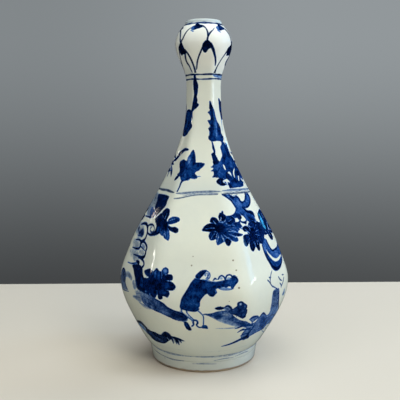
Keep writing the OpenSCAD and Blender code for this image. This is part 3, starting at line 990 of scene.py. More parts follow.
def flowering_tree(place):
    """An old tree that leans in from the shoulder line, with flower heads and a trunk that turns up."""
    hook_in = [(36.6, 134.8), (38, 133.6), (41, 133.2), (44, 134.4), (45.6, 137), (47, 139.2)]
    hook_out = [
        (49.4, 138.8), (51.6, 137), (52.6, 134), (50.6, 131), (47, 129.4), (42, 129.2), (38, 129.6)]
    trunk_top = [(39, 129.4), (42, 127.4), (46, 125.6), (50, 125), (53.6, 123.6), (55.4, 121.6)]
    left = [(16.8, 140.6), (18.5, 139.8), (22, 137.6), (25, 135.4), (27.5, 132.5), (29.4, 130)]
    twig = [(28.8, 128), (27, 126), (24, 124.8), (20.5, 124.6)]
    wash(place, left + twig + [(26, 123.4), (31, 124.4), (33.6, 125.6), (36, 125), (39, 123.6), (42, 120),
        (48, 118), (54, 117.6)] + trunk_top[::-1] + hook_out[::-1] + hook_in[::-1] + [(35, 136.4),
        (32, 137.2), (27, 137.4), (25, 138.2), (22.6, 140.4)], 0.6)
    pool(place, [(29.6, 133), (32, 135.4), (35, 134), (34, 130.4), (31, 130)], 0.46, 1.2)
    pool(place, [(41, 131.4), (46, 131.6), (49.4, 134), (48.6, 137), (46, 133.4)], 0.44, 0.9)
    pool(place, [(44, 122.6), (50, 121.6), (56, 119), (53, 117.6), (46, 118.6)], 0.9, 1.5)
    pool(place, [(20, 139.6), (22.4, 138.9), (27, 135.4), (26, 134.6), (21.8, 137.9)], 0.3, 0.5)
    stroke(place, left, [0.9, 1.2, 1.3, 1.3, 1.3, 1.1], 0.95)
    stroke(place, left[-1:] + twig, [1.0, 1.1, 1.1, 1.0, 0.8], 0.85)
    stroke(place, [(22.4, 140.4), (24, 138.6), (26, 137), (28, 135.6)], [0.8, 1.1, 1.2, 0.6], 0.92)
    stroke(place, [
        (24, 139.4), (27, 137.8), (29.6, 137.9), (32, 137.8), (35, 136.2), (36.4, 134.8)],
        [0.8, 1.7, 1.2, 1.8, 1.7, 1.4], 0.95)
    stroke(place, hook_in, [1.2, 1.2, 1.2, 1.3, 1.5, 1.2], 0.94)
    stroke(place, hook_out, [1.4, 1.8, 1.9, 1.7, 1.4, 1.2, 0.9], 0.94)
    stroke(place, trunk_top, [1.4, 1.8, 2.2, 2.5, 2.4, 1.6], 0.97)
    stroke(place, [
        (33.6, 125.4), (36, 124.8), (39, 123.4), (41.4, 121), (42, 119.6)], [0.7, 1.0, 1.1, 1.0, 0.7],
        0.85)
    stroke(place, [(33, 129), (31, 124.6), (26, 123.6), (21, 124.6)], [0.5, 0.8, 0.8, 0.5], 0.6)
    blossom(place, petals=[
        (0.72, [(17, 122.4), (21, 124), (26, 120.6), (29.4, 116.6), (29.6, 112), (26.4, 108.8),
            (21.6, 107.2), (16, 106.8), (12.6, 109.4), (13.6, 114)]),
        (0.97, [(2.2, 114.6), (4, 117.6), (7, 119.4), (11, 119.6), (14, 118.6), (14, 114.6), (9, 113.8),
            (5, 114)]),
        (0.95, [(8.6, 120.5), (8.4, 122.6), (9.6, 124), (11.6, 124), (13.6, 122.8), (15, 121),
            (13, 119.8)]),
        (0.95, [(14.4, 124.6), (15.4, 127.4), (16.2, 126.8), (16.8, 128.6), (17.6, 128.4), (18, 126.6),
            (19.6, 125.2), (20, 122.6), (17, 120.6), (15, 122)]),
        (0.82, [(20.6, 124.8), (23.4, 124.8), (26, 123.6), (27.6, 121.8), (26.6, 120), (22, 119),
            (19.6, 121)]),
        (0.66, [(26, 120), (30, 118.6), (32.6, 116.6), (33.8, 114.8), (31, 114.4), (28.6, 113.8),
            (23, 116)]),
        (0.88, [(28, 113), (32, 111.8), (34.6, 111), (33, 110.2), (29, 110.2), (24, 112)]),
        (0.72, [(25, 110.6), (28.6, 109.6), (29.8, 107.4), (28, 106.6), (25, 107.4), (22.4, 109.4)]),
        (0.95, [(19.8, 108), (20.4, 105.4), (22.2, 103.8), (23.6, 105), (24.2, 107.4), (22, 109.6)]),
        (0.66, [(13.4, 107), (14.4, 104.4), (16.6, 105.4), (19, 107), (18, 109.6), (14.6, 109.4)]),
        (0.9, [(8, 112.6), (7.8, 109.6), (9.6, 107.8), (12.4, 108.4), (13.2, 110.4), (13.6, 113.4),
            (10, 113.6)])
    ], heart=[
        (12.4, 117.6), (14, 120.4), (17.4, 119.8), (19.6, 117), (18.6, 113.8), (15, 112.8), (12.6, 114.6)
    ], dark_lines=[
        [(18, 119.4), (21, 121.4), (23.6, 123.8)], [(19.4, 118), (24, 119.4), (27, 120.4)],
        [(19.8, 116.4), (25, 116), (31, 115.2)], [(19.4, 114.6), (25, 112.6), (30, 111)],
        [(18.4, 113.2), (22.4, 110.6), (27.4, 107.8)], [(17.4, 112.8), (20.4, 108), (22, 105.4)],
        [(15.6, 112.6), (15.4, 109), (15.4, 106.2)], [(20, 117.2), (26, 117.8)],
        [(19.2, 113.8), (24, 110.4)]
    ], pale_lines=[
        [(20, 117.4), (24, 118.6), (27.6, 117.6)], [(20.6, 115.6), (25, 116.6), (29.6, 115)],
        [(20.6, 114), (25.6, 113.8), (30, 112.4)], [(20, 112.4), (24, 111.4), (28, 109.6)],
        [(18.6, 111.6), (21.6, 109.4), (24.6, 107.6)], [(17, 111.4), (18.4, 108.6), (19.6, 106.4)],
        [(15, 111.4), (14.6, 108.6), (14, 106.4)], [(12, 112.6), (10.4, 110.6), (9.6, 109)],
        [(11.6, 116.4), (7.6, 116.2), (4.6, 115.6)], [(12.4, 119.6), (10.6, 121.6)],
        [(22, 121), (24.6, 122.6)], [(16.2, 121.6), (16.4, 124.6)]])
    pool(place, [(16.4, 120.6), (17.6, 121.4), (18.6, 120.6), (17.4, 119.8)], 0.25, 0.4)
    blossom(place, petals=[
        (0.9, [(43, 117), (48, 118.4), (54, 118), (59, 113), (60.4, 107), (57.6, 101.6), (52, 100.2),
            (46, 100.4), (41.2, 104), (40.6, 110)]),
        (0.95, [(34.6, 115.2), (38, 116.4), (42, 115.6), (45, 113), (38, 112.4), (35.6, 113.6)]),
        (0.9, [(35, 109.6), (35.2, 105), (37, 102.4), (39.4, 102.6), (41.6, 105), (43, 109),
            (39, 110.4)]),
        (0.97, [(42, 103.4), (43, 99.6), (45.6, 97.6), (48.4, 98.6), (49.6, 101), (47, 104.6)]),
        (0.97, [(50.6, 101.6), (53, 97.8), (55.8, 96.6), (57, 98.4), (56.4, 102), (53, 104)]),
        (0.88, [(57, 117.4), (63, 114.6), (67, 110), (66, 104.6), (61.6, 101), (57, 102.6), (55, 109)])
    ], heart=[
        (43, 109), (45, 113), (50, 113), (52.4, 109), (50, 105), (45, 105)
    ], dark_lines=[
        [(52, 110), (58, 109), (64, 107)], [(51, 112), (56, 114.6)], [(44, 107), (39, 105)],
        [(48, 105), (46.4, 100)], [(51, 106), (54.6, 100)]
    ], pale_lines=[
        [(43, 107.4), (38.6, 104.6)], [(43.6, 110.4), (38, 114.4)], [(47.4, 104), (45.6, 100.4)],
        [(52, 105), (54.4, 101)], [(53, 108.6), (59, 107)], [(53, 110.6), (60, 111.6)],
        [(51.4, 112.6), (56, 115.6)]])
    for tone, filling in (
            (0.78, [(25.4, 125.4), (29, 126.2), (33, 125.6), (34.6, 122.4), (31.6, 121.4), (30, 123),
                (27.4, 123.2)]),
            (0.82, [(26, 120), (30.4, 120.2), (33.6, 121.4), (32.8, 118.8), (34.8, 116.6), (31.6, 116.2),
                (28, 117)]),
            (0.92, [(33, 120.6), (36, 119.8), (39, 119.6), (42, 120), (40.6, 117.4), (37.6, 118.2),
                (34, 119.4)]),
            (0.93, [(58, 115.6), (62, 116.6), (65, 115.4), (70, 111.4), (75, 107.8), (71, 106.4),
                (66, 107), (62, 108), (58, 112)])):
        wash(place, filling, tone)
    wash(place, [(33, 122), (33.4, 124), (34.8, 124.2), (35.4, 122.6), (34.2, 121.6)], 0.98)
    reserve(place, [(31.6, 115.2), (34, 114), (36.4, 112.8)], [0.8, 1.0, 0.5])
    reserve(place, [(42.6, 116.6), (47, 114.4), (49, 114.6)], [0.6, 0.5, 0.3])
    reserve(place, [(55, 121.4), (59, 118.6), (63, 116.2)], [0.5, 0.9, 0.6])
    reserve(place, [(49.6, 104), (50, 99.6)], 0.6)
    # A third flower head, past the corner
    blossom(place, petals=[
        (0.9, [(61, 122.4), (65, 125.2), (69, 125), (71.4, 121), (70, 116), (66, 114), (62.6, 117.6)]),
        (0.93, [(70, 121), (72, 125), (75.4, 125.6), (77.6, 122.6), (76, 118.6), (72, 116.6)]),
        (0.86, [(74, 118), (78, 120.4), (82, 119.6), (84, 116.2), (81, 113.4), (76, 113.6)]),
        (0.93, [(76, 113), (81, 113), (85.4, 110.2), (85.4, 106.6), (81.4, 106), (76.4, 109)]),
        (0.9, [(75, 109.6), (79, 106.6), (81.6, 103.4), (80, 101.2), (76.4, 102.4), (73, 106.6)]),
        (0.9, [(66.6, 111), (70, 108.4), (74, 107), (75, 111), (72, 115), (66, 116)])
    ], heart=[
        (69, 115), (71, 118), (74, 116.4), (75, 113), (73, 110.6), (70, 111.6)
    ], dark_lines=[
        [(69, 117), (65, 121)], [(72, 118), (73.6, 122.6)], [(75, 115.6), (80, 116.6)],
        [(76, 112), (82, 109)], [(74.6, 110), (78.6, 104.6)]
    ], pale_lines=[
        [(70.6, 118.6), (67.6, 122.6)], [(73.4, 118), (75.4, 122)], [(76, 114.6), (80.6, 115)],
        [(76, 110.6), (81.6, 108)], [(73.6, 109.4), (77, 104.6)]])
    # The trunk, that swings round and up again
    outer = [
        (61, 99.6), (63, 95), (66, 90.6), (70, 86.4), (74, 82.4), (78, 80.2), (82, 79.6), (86, 80.2),
        (90, 82), (93.6, 85.6), (95.4, 90), (98.6, 93.4)]
    inner = [
        (97.4, 95.4), (94.6, 93.6), (92.8, 97), (92.4, 102), (90.8, 102.4), (89.4, 97), (86, 94.4),
        (81, 93.6), (77, 93.6), (74, 95.6), (71, 99), (69, 102.4)]
    wash(place, outer + inner + [(66, 104)], 0.5)
    pool(place, [
        (63, 96), (68, 88.6), (75, 83), (82, 81), (90, 83), (88, 85), (80, 84.6), (73, 88.6), (67, 94.4)],
        0.72, 1.4)
    stroke(place, outer, [1.2, 1.6, 2.0, 2.4, 3.0, 3.2, 3.2, 2.8, 2.0, 1.6, 1.4, 0.8], 0.95)
    stroke(place, inner, [0.8, 1.0, 1.0, 0.8, 0.9, 1.4, 1.8, 1.6, 1.4, 1.4, 1.3, 1.0], 0.9)
    stroke(place, [
        (64, 102.6), (67, 99.4), (70, 95.2), (74, 91.6), (78, 89.4)], [0.8, 0.9, 0.9, 0.8, 0.5], 0.75)
    reserve(place, [
        (66.6, 95.6), (70, 92), (75, 88.4), (80, 86.2), (85, 86), (90, 87.4), (92, 88)],
        [0.8, 1.6, 2.2, 2.4, 2.4, 2.0, 0.8])


def rocky_ground(place):
    """Low rocks and a tongue of earth at the figure's feet."""
    wash(place, [
        (5, 54.2), (10, 54.8), (15, 56.4), (20, 57.4), (24, 56), (28, 51.6), (32, 48.6), (38, 46),
        (44, 40.5), (40, 38.6), (36, 41), (31, 43.6), (26, 47), (20, 49.4), (17, 49.6), (14, 50),
        (10, 52)], 0.56, grey=0.2)
    pool(place, [
        (10, 52.6), (16, 50.8), (22, 49.6), (28, 46.6), (33, 43.6), (31, 42.4), (24, 45.4), (17, 48.4)],
        0.34, 1.3, 0.3)
    pool(place, [(13, 53), (16, 53.6), (17.6, 51.6), (15, 50), (12.6, 51.4)], 0.8, 0.9)
    pool(place, [(28, 47.4), (33, 45.4), (38, 43), (36, 41.6), (30, 44.6)], 0.78, 1.2)
    stroke(place, [(4.6, 54), (10, 54.4), (15, 55.9)], [0.5, 0.8, 0.5], 0.85)
    wash(place, [(13, 58.8), (15, 60), (18, 60.4), (20.8, 59.4), (18.4, 58), (15, 57.8)], 0.97)
    pool(place, [(19.6, 59), (22, 60), (24.6, 58), (23, 56.6)], 0.5, 0.8, 0.4)
    stroke(place, [
        (20.6, 60), (22.6, 60.8), (24.6, 59.4), (25.4, 57)], [0.9, 1.6, 1.6, 1.0], 0.9, grey=0.3)
    wash(place, [
        (23, 56.6), (24.6, 58.2), (26.8, 59.1), (29, 60.7), (29.1, 62.7), (30.6, 64), (32.9, 64.1),
        (34.6, 62.6), (36.8, 61), (37.2, 58.8), (36.4, 57.6), (37.4, 56.6), (37, 53.4), (36, 50.6),
        (33.6, 49.6), (31.4, 51), (29.3, 52.6), (26.8, 53.6), (24.3, 54.6)], 0.82, grey=0.2)
    for x, z, size, tone in (
            (31.7, 62, 1.0, 0.12), (35.2, 59.4, 0.7, 0.5), (33.4, 56.8, 0.9, 0.5), (34.4, 53.2, 1.2, 0.5),
            (27.4, 57, 1.4, 0.72)):
        pool(place, [(x - size, z), (x, z + size), (x + size, z), (x, z - size)], tone, 0.6)
    pool(place, [(19, 54.6), (22.4, 55), (23.6, 53.4), (20.4, 52.6)], 0.36, 1.0, 0.5)
    for line in ([(29.6, 62), (30.6, 57), (29, 52.4)], [(35.2, 61.6), (36.4, 57), (35.8, 51.6)]):
        stroke(place, line, [0.4, 0.7, 0.4], 0.97)
    pool(place, [(13, 42.2), (20, 42.4), (28, 42.4), (28, 41.6), (20, 41.6)], 0.16, 0.6)
    for tuft in ([(28.4, 41.2), (31, 41.8), (34, 43)], [(30.6, 37.2), (33, 38.6), (35, 39.4)]):
        stroke(place, tuft, [0.6, 1.3, 1.5], 0.82)


def stump_and_bank(place):
    """A broken stump with bare twigs, on a bank that tails away towards the foot."""
    crest = [
        (40, 47.5), (43, 48.6), (46, 48.8), (49.6, 48.4), (53, 46.6), (57.4, 48.8), (62, 45.8),
        (66, 44.6), (69, 46.6), (70.6, 50), (71.6, 54), (72, 58), (72.4, 62), (74, 63.8), (76.4, 62.8),
        (78.6, 65), (80.6, 63.4), (82.6, 64), (83.6, 61), (83.4, 56), (84, 51), (85.4, 46.4), (88.6, 43),
        (93, 41), (97.4, 40.4), (93, 38.4), (88.4, 38.6), (86, 36.4)]
    hem = [
        (80, 32), (77, 30.6), (75, 31.6), (72, 33.4), (66, 33.6), (62, 31), (56, 31.4), (50, 31),
        (44, 30), (40, 28.6), (36, 27.6)]
    wash(place, crest + hem + [(33.6, 31), (33.6, 33), (35, 36), (37.6, 39), (40, 41), (43, 44)], 0.46,
        ((60, 36), (84, 40), 0.3), grey=0.25)
    pool(place, [(72, 62), (78, 64), (83, 62), (83, 56), (83.6, 50), (78, 49), (71.6, 51)], 0.5, 1.6, 0.5)
    pool(place, [(73, 62), (79, 63.6), (82.6, 61.6), (82.4, 59), (78, 58.6), (73, 59)], 0.58, 0.9, 0.5)
    stroke(place, [
        (82.6, 63.6), (83.4, 58), (84, 51), (86, 45.6), (90, 42), (96.6, 40.6)],
        [0.8, 1.2, 1.4, 1.6, 1.3, 0.6], 0.85, grey=0.2)
    stroke(place, [
        (72.6, 62.4), (74, 63.7), (76.4, 62.8), (78.6, 64.8), (80.6, 63.4), (82.4, 63.8)], 0.9, 0.85,
        grey=0.2)
    pool(place, [(35, 30.6), (40, 32), (41, 29.6), (36.6, 28)], 0.92, 0.9)
    pool(place, [(46, 43), (52, 45), (56, 42), (52, 39), (47, 39.6)], 0.4, 1.6)
    pool(place, [(55, 45), (62, 44), (66, 40), (64, 35), (57, 34)], 0.6, 1.8)
    pool(place, [(90, 57), (94, 61), (94, 56)], 0.36, 1.6, 0.5)
    for dab in ([(40.6, 47.8), (44, 48.6), (49.4, 48.2)], [(53, 46.6), (57.4, 48.2), (62, 45.8)]):
        stroke(place, dab, [0.9, 2.0, 0.9], 0.86)
    reserve(place, [(44.4, 43.4), (47.4, 44), (50, 45.6)], [0.8, 1.6, 0.6])
    for line, breadth in (
            ([(44, 41), (38, 42.6), (33, 42.4)], [2.0, 2.0, 0.8]),
            ([(42, 38), (37, 38.6), (34, 38.4)], [1.8, 1.6, 0.6]),
            ([(40, 33.6), (36.4, 34), (33.4, 33)], [1.6, 1.4, 0.5]),
            ([(41, 29.4), (35, 29.4), (30, 27.8), (25, 26.1), (18, 24.6)], [2.6, 2.4, 2.0, 1.5, 0.6]),
            ([(48, 43), (46, 39), (42, 34.6), (40, 30)], [0.8, 1.6, 1.8, 1.2]),
            ([(58, 45), (55, 38), (53, 32.4)], [0.5, 1.2, 0.6]),
            ([(66, 33.6), (60, 32), (52, 31.6)], [0.6, 1.0, 0.6])):
        stroke(place, line, breadth, 0.8)
    for line in (
            [(64, 41), (72, 41.6), (82, 40)], [(60, 36.4), (70, 38.6)], [(74.6, 56), (76, 48), (73, 42)],
            [(82, 57), (83, 50), (81, 45)], [(71.8, 60), (71, 54), (70, 49)]):
        stroke(place, line, [0.5] + [0.9] * (len(line) - 1), 0.72, grey=0.3)
    for twig in (
            [(63.6, 74), (66, 72.6), (68, 70.6), (71, 68.2), (74, 66.8), (77, 65.6)],
            [(68, 71), (68.2, 74), (70, 77.4), (71.8, 79)], [(66.6, 75.6), (69, 75)],
            [(82.6, 73), (85, 70.6), (88, 69.2)], [(84.8, 67.6), (86.6, 66), (86.8, 64)],
            [(91.8, 70.4), (90, 67), (87.2, 64.6)], [(89.4, 73.4), (91.6, 73)]):
        stroke(place, twig, [0.9] + [1.0] * (len(twig) - 2) + [0.7], 0.72, grey=0.4)
    for line in ([(60, 30), (64, 27), (68, 25), (71, 24)], [(66, 30.6), (70, 28.8), (74, 28)]):
        stroke(place, line, 0.7, 0.36, grey=0.6)


for side in SIDES:
    hanging_rock(side)
    sloping_bank(side)
    low_plant(side)
    flowering_tree(side)
    rocky_ground(side)
    stump_and_bank(side)
    attendant(side)

# The lines that hide the shoulder seam: a dark one on the left, and thinner pairs that part to the right
for side in SIDES:
    pool(side, [
        (-12, 140.6), (0, 141.6), (12, 141.9), (12, 141.2), (0, 140.9), (-10, 140)], 0.12, 0.5, 0.3)
    for tone, grey, breadth, line in (
            (0.68, 0.9, 1.7, [(-60, 142.2), (-45, 142), (-35, 142.3), (-28, 142), (-22, 141.6)]),
            (0.44, 0.8, 1.5, [(-19, 141.2), (-14, 141.4), (-8, 142), (0, 142.5), (8, 142.9),
                (15, 142.9)]),
            (0.52, 0.9, 0.8, [(-20.6, 137.2), (-16, 137.8), (-10, 139.2), (-4, 140.2), (4, 140.6),
                (13, 140.8)]),
            (0.38, 0.6, 1.5, [(17, 143.4), (24, 143.5), (34, 143), (46, 142.5), (58, 142.2)]),
            (0.62, 0.9, 1.0, [(16.6, 140.9), (22, 141.2), (30, 140.7), (45, 140.1), (56, 139.9)])):
        stroke(side, line, [0.6] + [breadth] * (len(line) - 2) + [0.7], tone, grey=grey)
# Specks of iron on the front side
for x, z, size in (
        (-5.1, 89.8, 0.9), (25.8, 93.6, 1.0), (-4.2, 96.2, 0.6), (28.2, 86.6, 0.9), (30.4, 74.2, 1.2)):
    stroke(FRONT, [(x - 0.1, z), (x + 0.1, z)], size, 1.0, "speck")

BELLY_SEAM = seam("lower_body", "upper_body")
SHOULDER_SEAM = seam("upper_body", "neck")
shoulder_radius = half_width("shoulder_slip") - SHOULDER_TAPER * HALF_SLIP
bowl_foot = (SLAB_SEAM, BOWL_RADIUS, BOWL_FLARE, ROUND, BODY_WALL)
belly = (BELLY_SEAM, half_width("belly_slip") - SPONGED, 0, BODY_CRISPNESS, BODY_WALL)
haunch = (BELLY_SEAM + HAUNCH_RISE, belly[1] - HAUNCH_INSET, -HAUNCH_TAPER, BODY_CRISPNESS, BODY_WALL)
shoulder = (SHOULDER_SEAM, shoulder_radius, -SHOULDER_TAPER, BODY_CRISPNESS, BODY_WALL)
body_glaze, *_ = glazed("body_glaze", GLAZE_THIN, GLAZE_POOLED, pool_from=48, pool_to=14, bleed=0.42)
bowl_middle = halfway(bowl_foot, belly)
moulded("bowl_moulded", (bowl_foot, bowl_middle, belly), BODY_COLUMNS, BOWL_ROWS, body_glaze,
        "lower_body", "belly_slip")
moulded("shoulder_moulded", (belly, haunch, shoulder), BODY_COLUMNS, SHOULDER_ROWS, body_glaze,
        "upper_body", "shoulder_slip")

# Neck
# The slender six-sided neck, moulded and luted at the shoulder and the collar, where pairs of lines hide
# the slip. Sprays of long toothed leaves and one five-lobed leaf hang down its corners.
WAIST_DROP = 20.5
WAIST_RADIUS = 14.2
COLLAR_FLARE = 0.24
NECK_WALL = 4.0
NECK_COLUMNS = 400
NECK_ROWS = (190, 10)
COLLAR_SEAM = seam("neck", "garlic_bulb")
collar_radius = half_width("collar_slip") - COLLAR_FLARE * HALF_SLIP
waist = (COLLAR_SEAM - WAIST_DROP, WAIST_RADIUS, 0, BODY_CRISPNESS, NECK_WALL)
collar = (COLLAR_SEAM, collar_radius, COLLAR_FLARE, BODY_CRISPNESS, NECK_WALL)


def corner_branch(place):
    """A knotty branch down a corner of the neck, with a broad leaf, above a five-lobed leaf on a stalk."""
    wash(place, [
        (-6.8, 234), (-7.2, 231), (-7.6, 228.6), (-7.5, 225), (-7, 221), (-6.8, 218.6), (-7.2, 216),
        (-8, 213), (-8.6, 210.4), (-9.4, 208), (-10, 206), (-8.2, 205.4), (-6.6, 206.6), (-4.6, 208.2),
        (-3, 210.6), (-4.4, 212), (-4.2, 214), (-4.8, 216.6), (-4.4, 218.4), (-3.8, 222), (-3.6, 226),
        (-4.6, 229), (-5.2, 231), (-5.4, 234)], 0.93)
    wash(place, [
        (-20, 204), (-18, 206.4), (-15, 207), (-11, 206.4), (-8.2, 205.6), (-8.4, 203), (-8, 200),
        (-8.8, 198), (-9.6, 196.6), (-8.4, 194.4), (-8.6, 192.4), (-10.6, 190.4), (-12.6, 188.6),
        (-14.6, 186.8), (-18, 185.6), (-22, 185.4), (-24, 187), (-22.6, 192), (-21.4, 198)], 0.86)
    pool(place, [(-15, 204), (-12.6, 202), (-16, 195), (-18, 195.6)], 0.64, 1.4)
    stroke(place, [
        (-34, 165.6), (-30, 166.4), (-27, 168.4), (-24, 170.8), (-20, 172.8), (-15, 174.8),
        (-11.6, 174.9)], [1.0, 2.2, 3.0, 3.2, 3.0, 2.4, 1.6], 0.96)
    stroke(place, [(-34, 165.6), (-37, 160), (-41, 152.6)], [1.0, 1.2, 0.8], 0.8)
    for root, tip in (
            ((-31, 167.6), (-37, 172)), ((-33, 162.6), (-42, 165)), ((-37, 157.4), (-47, 158.6)),
            ((-35, 160), (-33, 153))):
        middle = ((root[0] + tip[0]) / 2, (root[1] + tip[1]) / 2)
        stroke(place, [root, middle, tip], [1.0, 3.6, 0.6], 0.85)
    wash(place, [
        (-11.6, 166), (-11, 168.6), (-9.6, 171), (-8.4, 173.4), (-6.9, 174.8), (-5.8, 172.6),
        (-5.2, 169.6), (-4.9, 166), (-4.6, 164.8), (-2, 164.8), (2.4, 164.2), (1.6, 162.6), (0, 160.6),
        (-2, 158.8), (-4, 157.8), (-5, 156.4), (-4, 154.8), (-3, 153.4), (-4.4, 152.4), (-6.4, 152.4),
        (-8.4, 152.6), (-10, 152), (-12, 150.8), (-14.8, 150.2), (-16.4, 151.8), (-17.4, 153.8),
        (-19.4, 154), (-21.8, 155.2), (-20, 156.2), (-18.6, 157.4), (-18.4, 159), (-19.6, 160.8),
        (-20.8, 163), (-20.4, 165), (-18, 166), (-15.6, 167), (-14.4, 167.2), (-13.6, 166.4),
        (-12.6, 166.4)], 0.74)
    for tone, patch in (
            (0.95, [(-20.4, 164.4), (-15, 166.4), (-13, 164), (-14, 158), (-17.6, 156.4), (-18.6, 160)]),
            (0.95, [(-7, 174), (-5.6, 170), (-5.4, 164), (-7, 162), (-7.6, 168)]),
            (0.4, [(-11.2, 166), (-10, 169.4), (-8.8, 168), (-9.4, 163)]),
            (0.84, [(-3, 164), (2, 163.6), (0, 161.4), (-3, 162)]),
            (0.48, [(-14.6, 157), (-12.6, 157.6), (-12, 152.6), (-14.6, 152.4)]),
            (0.9, [(-11.4, 156), (-10, 156), (-9.4, 152.4), (-11.4, 151.6)]),
            (0.88, [(-8, 155), (-4.4, 155), (-4, 153), (-7.6, 152.8)])):
        pool(place, patch, tone, 0.9)
    for line in (
            [(-14.4, 151.4), (-12.6, 158), (-8.6, 166), (-7.2, 172)], [(-13, 156), (-8, 160.6), (0, 163)],
            [(-14.4, 153), (-13.6, 159), (-12.2, 166)], [(-6.4, 158), (-5, 164)],
            [(-13.6, 153), (-9, 154.6), (-4.6, 153.8)]):
        stroke(place, line, [0.5] * (len(line) - 1) + [0.3], 0.93)
    stroke(place, [(-23.8, 151.2), (-21.6, 152.6), (-19, 154.4)], [1.6, 2.4, 2.0], 0.95)
    stroke(place, [(-3.4, 154), (-1, 154.2)], 0.6, 0.45)
    stroke(place, [
        (-14.8, 150.6), (-15.8, 149), (-16.6, 146.6), (-17.6, 144.4), (-18.6, 142.4)],
        [1.5, 1.2, 0.9, 0.9, 0.9], 0.95)


def leaf_spray(place):
    """Long toothed leaves that overlap down one side of the neck, with a flower among the lowest."""
    wash(place, [
        (6, 213.8), (6.8, 211.8), (8.4, 208.6), (10.4, 205.6), (11.4, 202), (13, 198.6), (15, 196),
        (17.4, 193.4), (18.6, 191), (19, 188.4), (20.4, 186.4), (22, 184), (21, 181), (19, 180.4),
        (16, 181.6), (12, 181.8), (8.6, 181.4), (6.4, 182), (5, 183.6), (5, 185.4), (6.4, 187),
        (6.4, 188.6), (5.4, 190), (4.8, 191.8), (6.8, 193), (5.8, 194.6), (5, 196), (4, 198),
        (6.2, 198.6), (6.6, 200), (5.2, 203), (4.2, 204.6), (5.8, 206), (5.2, 208), (5.4, 211)], 0.76)
    pool(place, [
        (5.8, 213), (8, 208), (9.6, 204), (9.6, 196), (9, 190), (6.6, 184), (6, 190), (7, 198),
        (6.4, 205)], 0.93, 0.9)
    pool(place, [(10.6, 201), (12.4, 199), (13, 192), (13, 186), (11.6, 186), (11.4, 193)], 0.42, 0.8)
    pool(place, [(14.6, 195.6), (17.6, 192.4), (18.4, 188), (15, 187), (14, 191)], 0.9, 1.0)
    wash(place, [
        (16, 215.6), (18, 215.4), (19, 214), (22, 212.6), (24, 208), (23.6, 203), (22.6, 199.6),
        (21.4, 198.8), (20.4, 198.8), (19.6, 200.4), (18.6, 203.6), (17.4, 207), (16.6, 212)], 0.86)
    stroke(place, [(20.4, 198.6), (20.8, 194), (21, 190)], [1.0, 0.8, 0.5], 0.28)
    stroke(place, [
        (7.6, 182), (8.4, 179), (9, 176.4), (9.8, 174), (10, 172)], [0.8, 0.9, 1.6, 1.4, 1.2], 0.93)
    wash(place, [
        (18.6, 181), (21, 180.6), (26, 179.4), (28, 175.6), (30.4, 171), (33.4, 168), (36.4, 165),
        (40, 160.6), (44, 157), (47, 152), (46, 147), (44, 144.8), (34, 144.6), (25, 144.8), (23, 147),
        (21, 147.2), (20, 148.8), (17.4, 150.4), (18, 152.6), (14.6, 153), (10.6, 153.4), (8.8, 153.6),
        (9.6, 154.6), (10, 156), (9.6, 157.8), (7.6, 158.4), (8.8, 159.2), (9.4, 160.6), (7.6, 161.4),
        (8.6, 162), (9.6, 163.4), (13, 164.4), (15, 166.2), (16, 167.6), (17.6, 170), (17, 173.6),
        (16, 176.6), (18, 178.6)], 0.76)
    wash(place, [
        (7.8, 171.6), (9.8, 172.6), (11, 170.6), (12.6, 167.6), (14, 165.4), (13, 164), (11, 163.4),
        (9.2, 164), (8.8, 167), (8, 169.6)], 0.95)
    wash(place, [
        (12, 150.2), (13, 152), (14.6, 153), (18, 152.6), (17, 150.6), (17.6, 149.4), (19.6, 148.8),
        (20, 147.8), (17, 147), (14, 148)], 0.97)
    pool(place, [(12.6, 163), (16, 165), (17, 160), (17, 155), (13.6, 155.6)], 0.6, 1.4)
    for tone, dark in (
            (0.95, [(20.6, 157), (25, 155.6), (25.4, 151.6), (21.4, 151.8)]),
            (0.97, [(26, 150.2), (32, 151), (38, 150.6), (38, 148.8), (30, 148.6)]),
            (0.95, [(36, 156), (39.4, 157.4), (41, 155), (38, 153.6)]),
            (0.95, [(23.6, 147.4), (26, 148), (26.6, 145.8), (24.4, 145.4)]),
            (0.93, [(24, 176), (27.6, 173), (29, 168), (26, 169)]),
            (0.9, [(19, 170), (22, 172), (23, 168), (20, 166)]),
            (0.6, [(28, 145.6), (31, 147.6), (35, 147.2), (34, 145.2)]),
            (0.62, [(28, 163), (33, 164), (33, 161), (28.6, 160.6)])):
        pool(place, dark, tone, 0.9)
    for line in (
            [(23, 179), (21.6, 172), (20, 165), (22, 158)], [(26.6, 177), (28, 168), (27, 159)],
            [(30, 170), (33, 163), (36.6, 158)], [(16, 164), (13, 158), (11, 154.4)]):
        stroke(place, line, [0.4] + [0.8] * (len(line) - 2) + [0.4], 0.95)
    for line, breadth in (
            ([(18.2, 162.8), (19.6, 161), (20.6, 159.2)], [1.0, 2.2, 1.2]),
            ([(17.8, 150.6), (21.4, 150.8), (24.6, 149.4)], [1.4, 2.2, 0.8]),
            ([(21, 149.6), (21.8, 147.6)], [1.6, 1.0]),
            ([(24, 156.6), (26.4, 156.2), (28.8, 153.6)], [1.0, 2.0, 0.6]),
            ([(34.2, 158.8), (32.6, 156), (33, 152.6)], [1.2, 2.0, 1.2]),
            ([(39.4, 153), (39.4, 150)], [1.3, 1.7]), ([(22.6, 181.4), (24.4, 178.4)], [1.4, 0.6]),
            ([(43, 151), (46, 149)], [0.8, 1.6])):
        reserve(place, line, breadth)


for side in SIDES:
    corner_branch(side)
    leaf_spray(side)
band(234.5, 1.1, 0.88, 0.3, 5.6, 0.5)
band(231.1, 1.0, 0.8, 0.6, 5.4, 0.5)
wash(FRONT, [(8, 234.4), (16, 234.4), (24, 234), (24, 232.4), (16, 232.4), (10, 232.8)], 0.2)

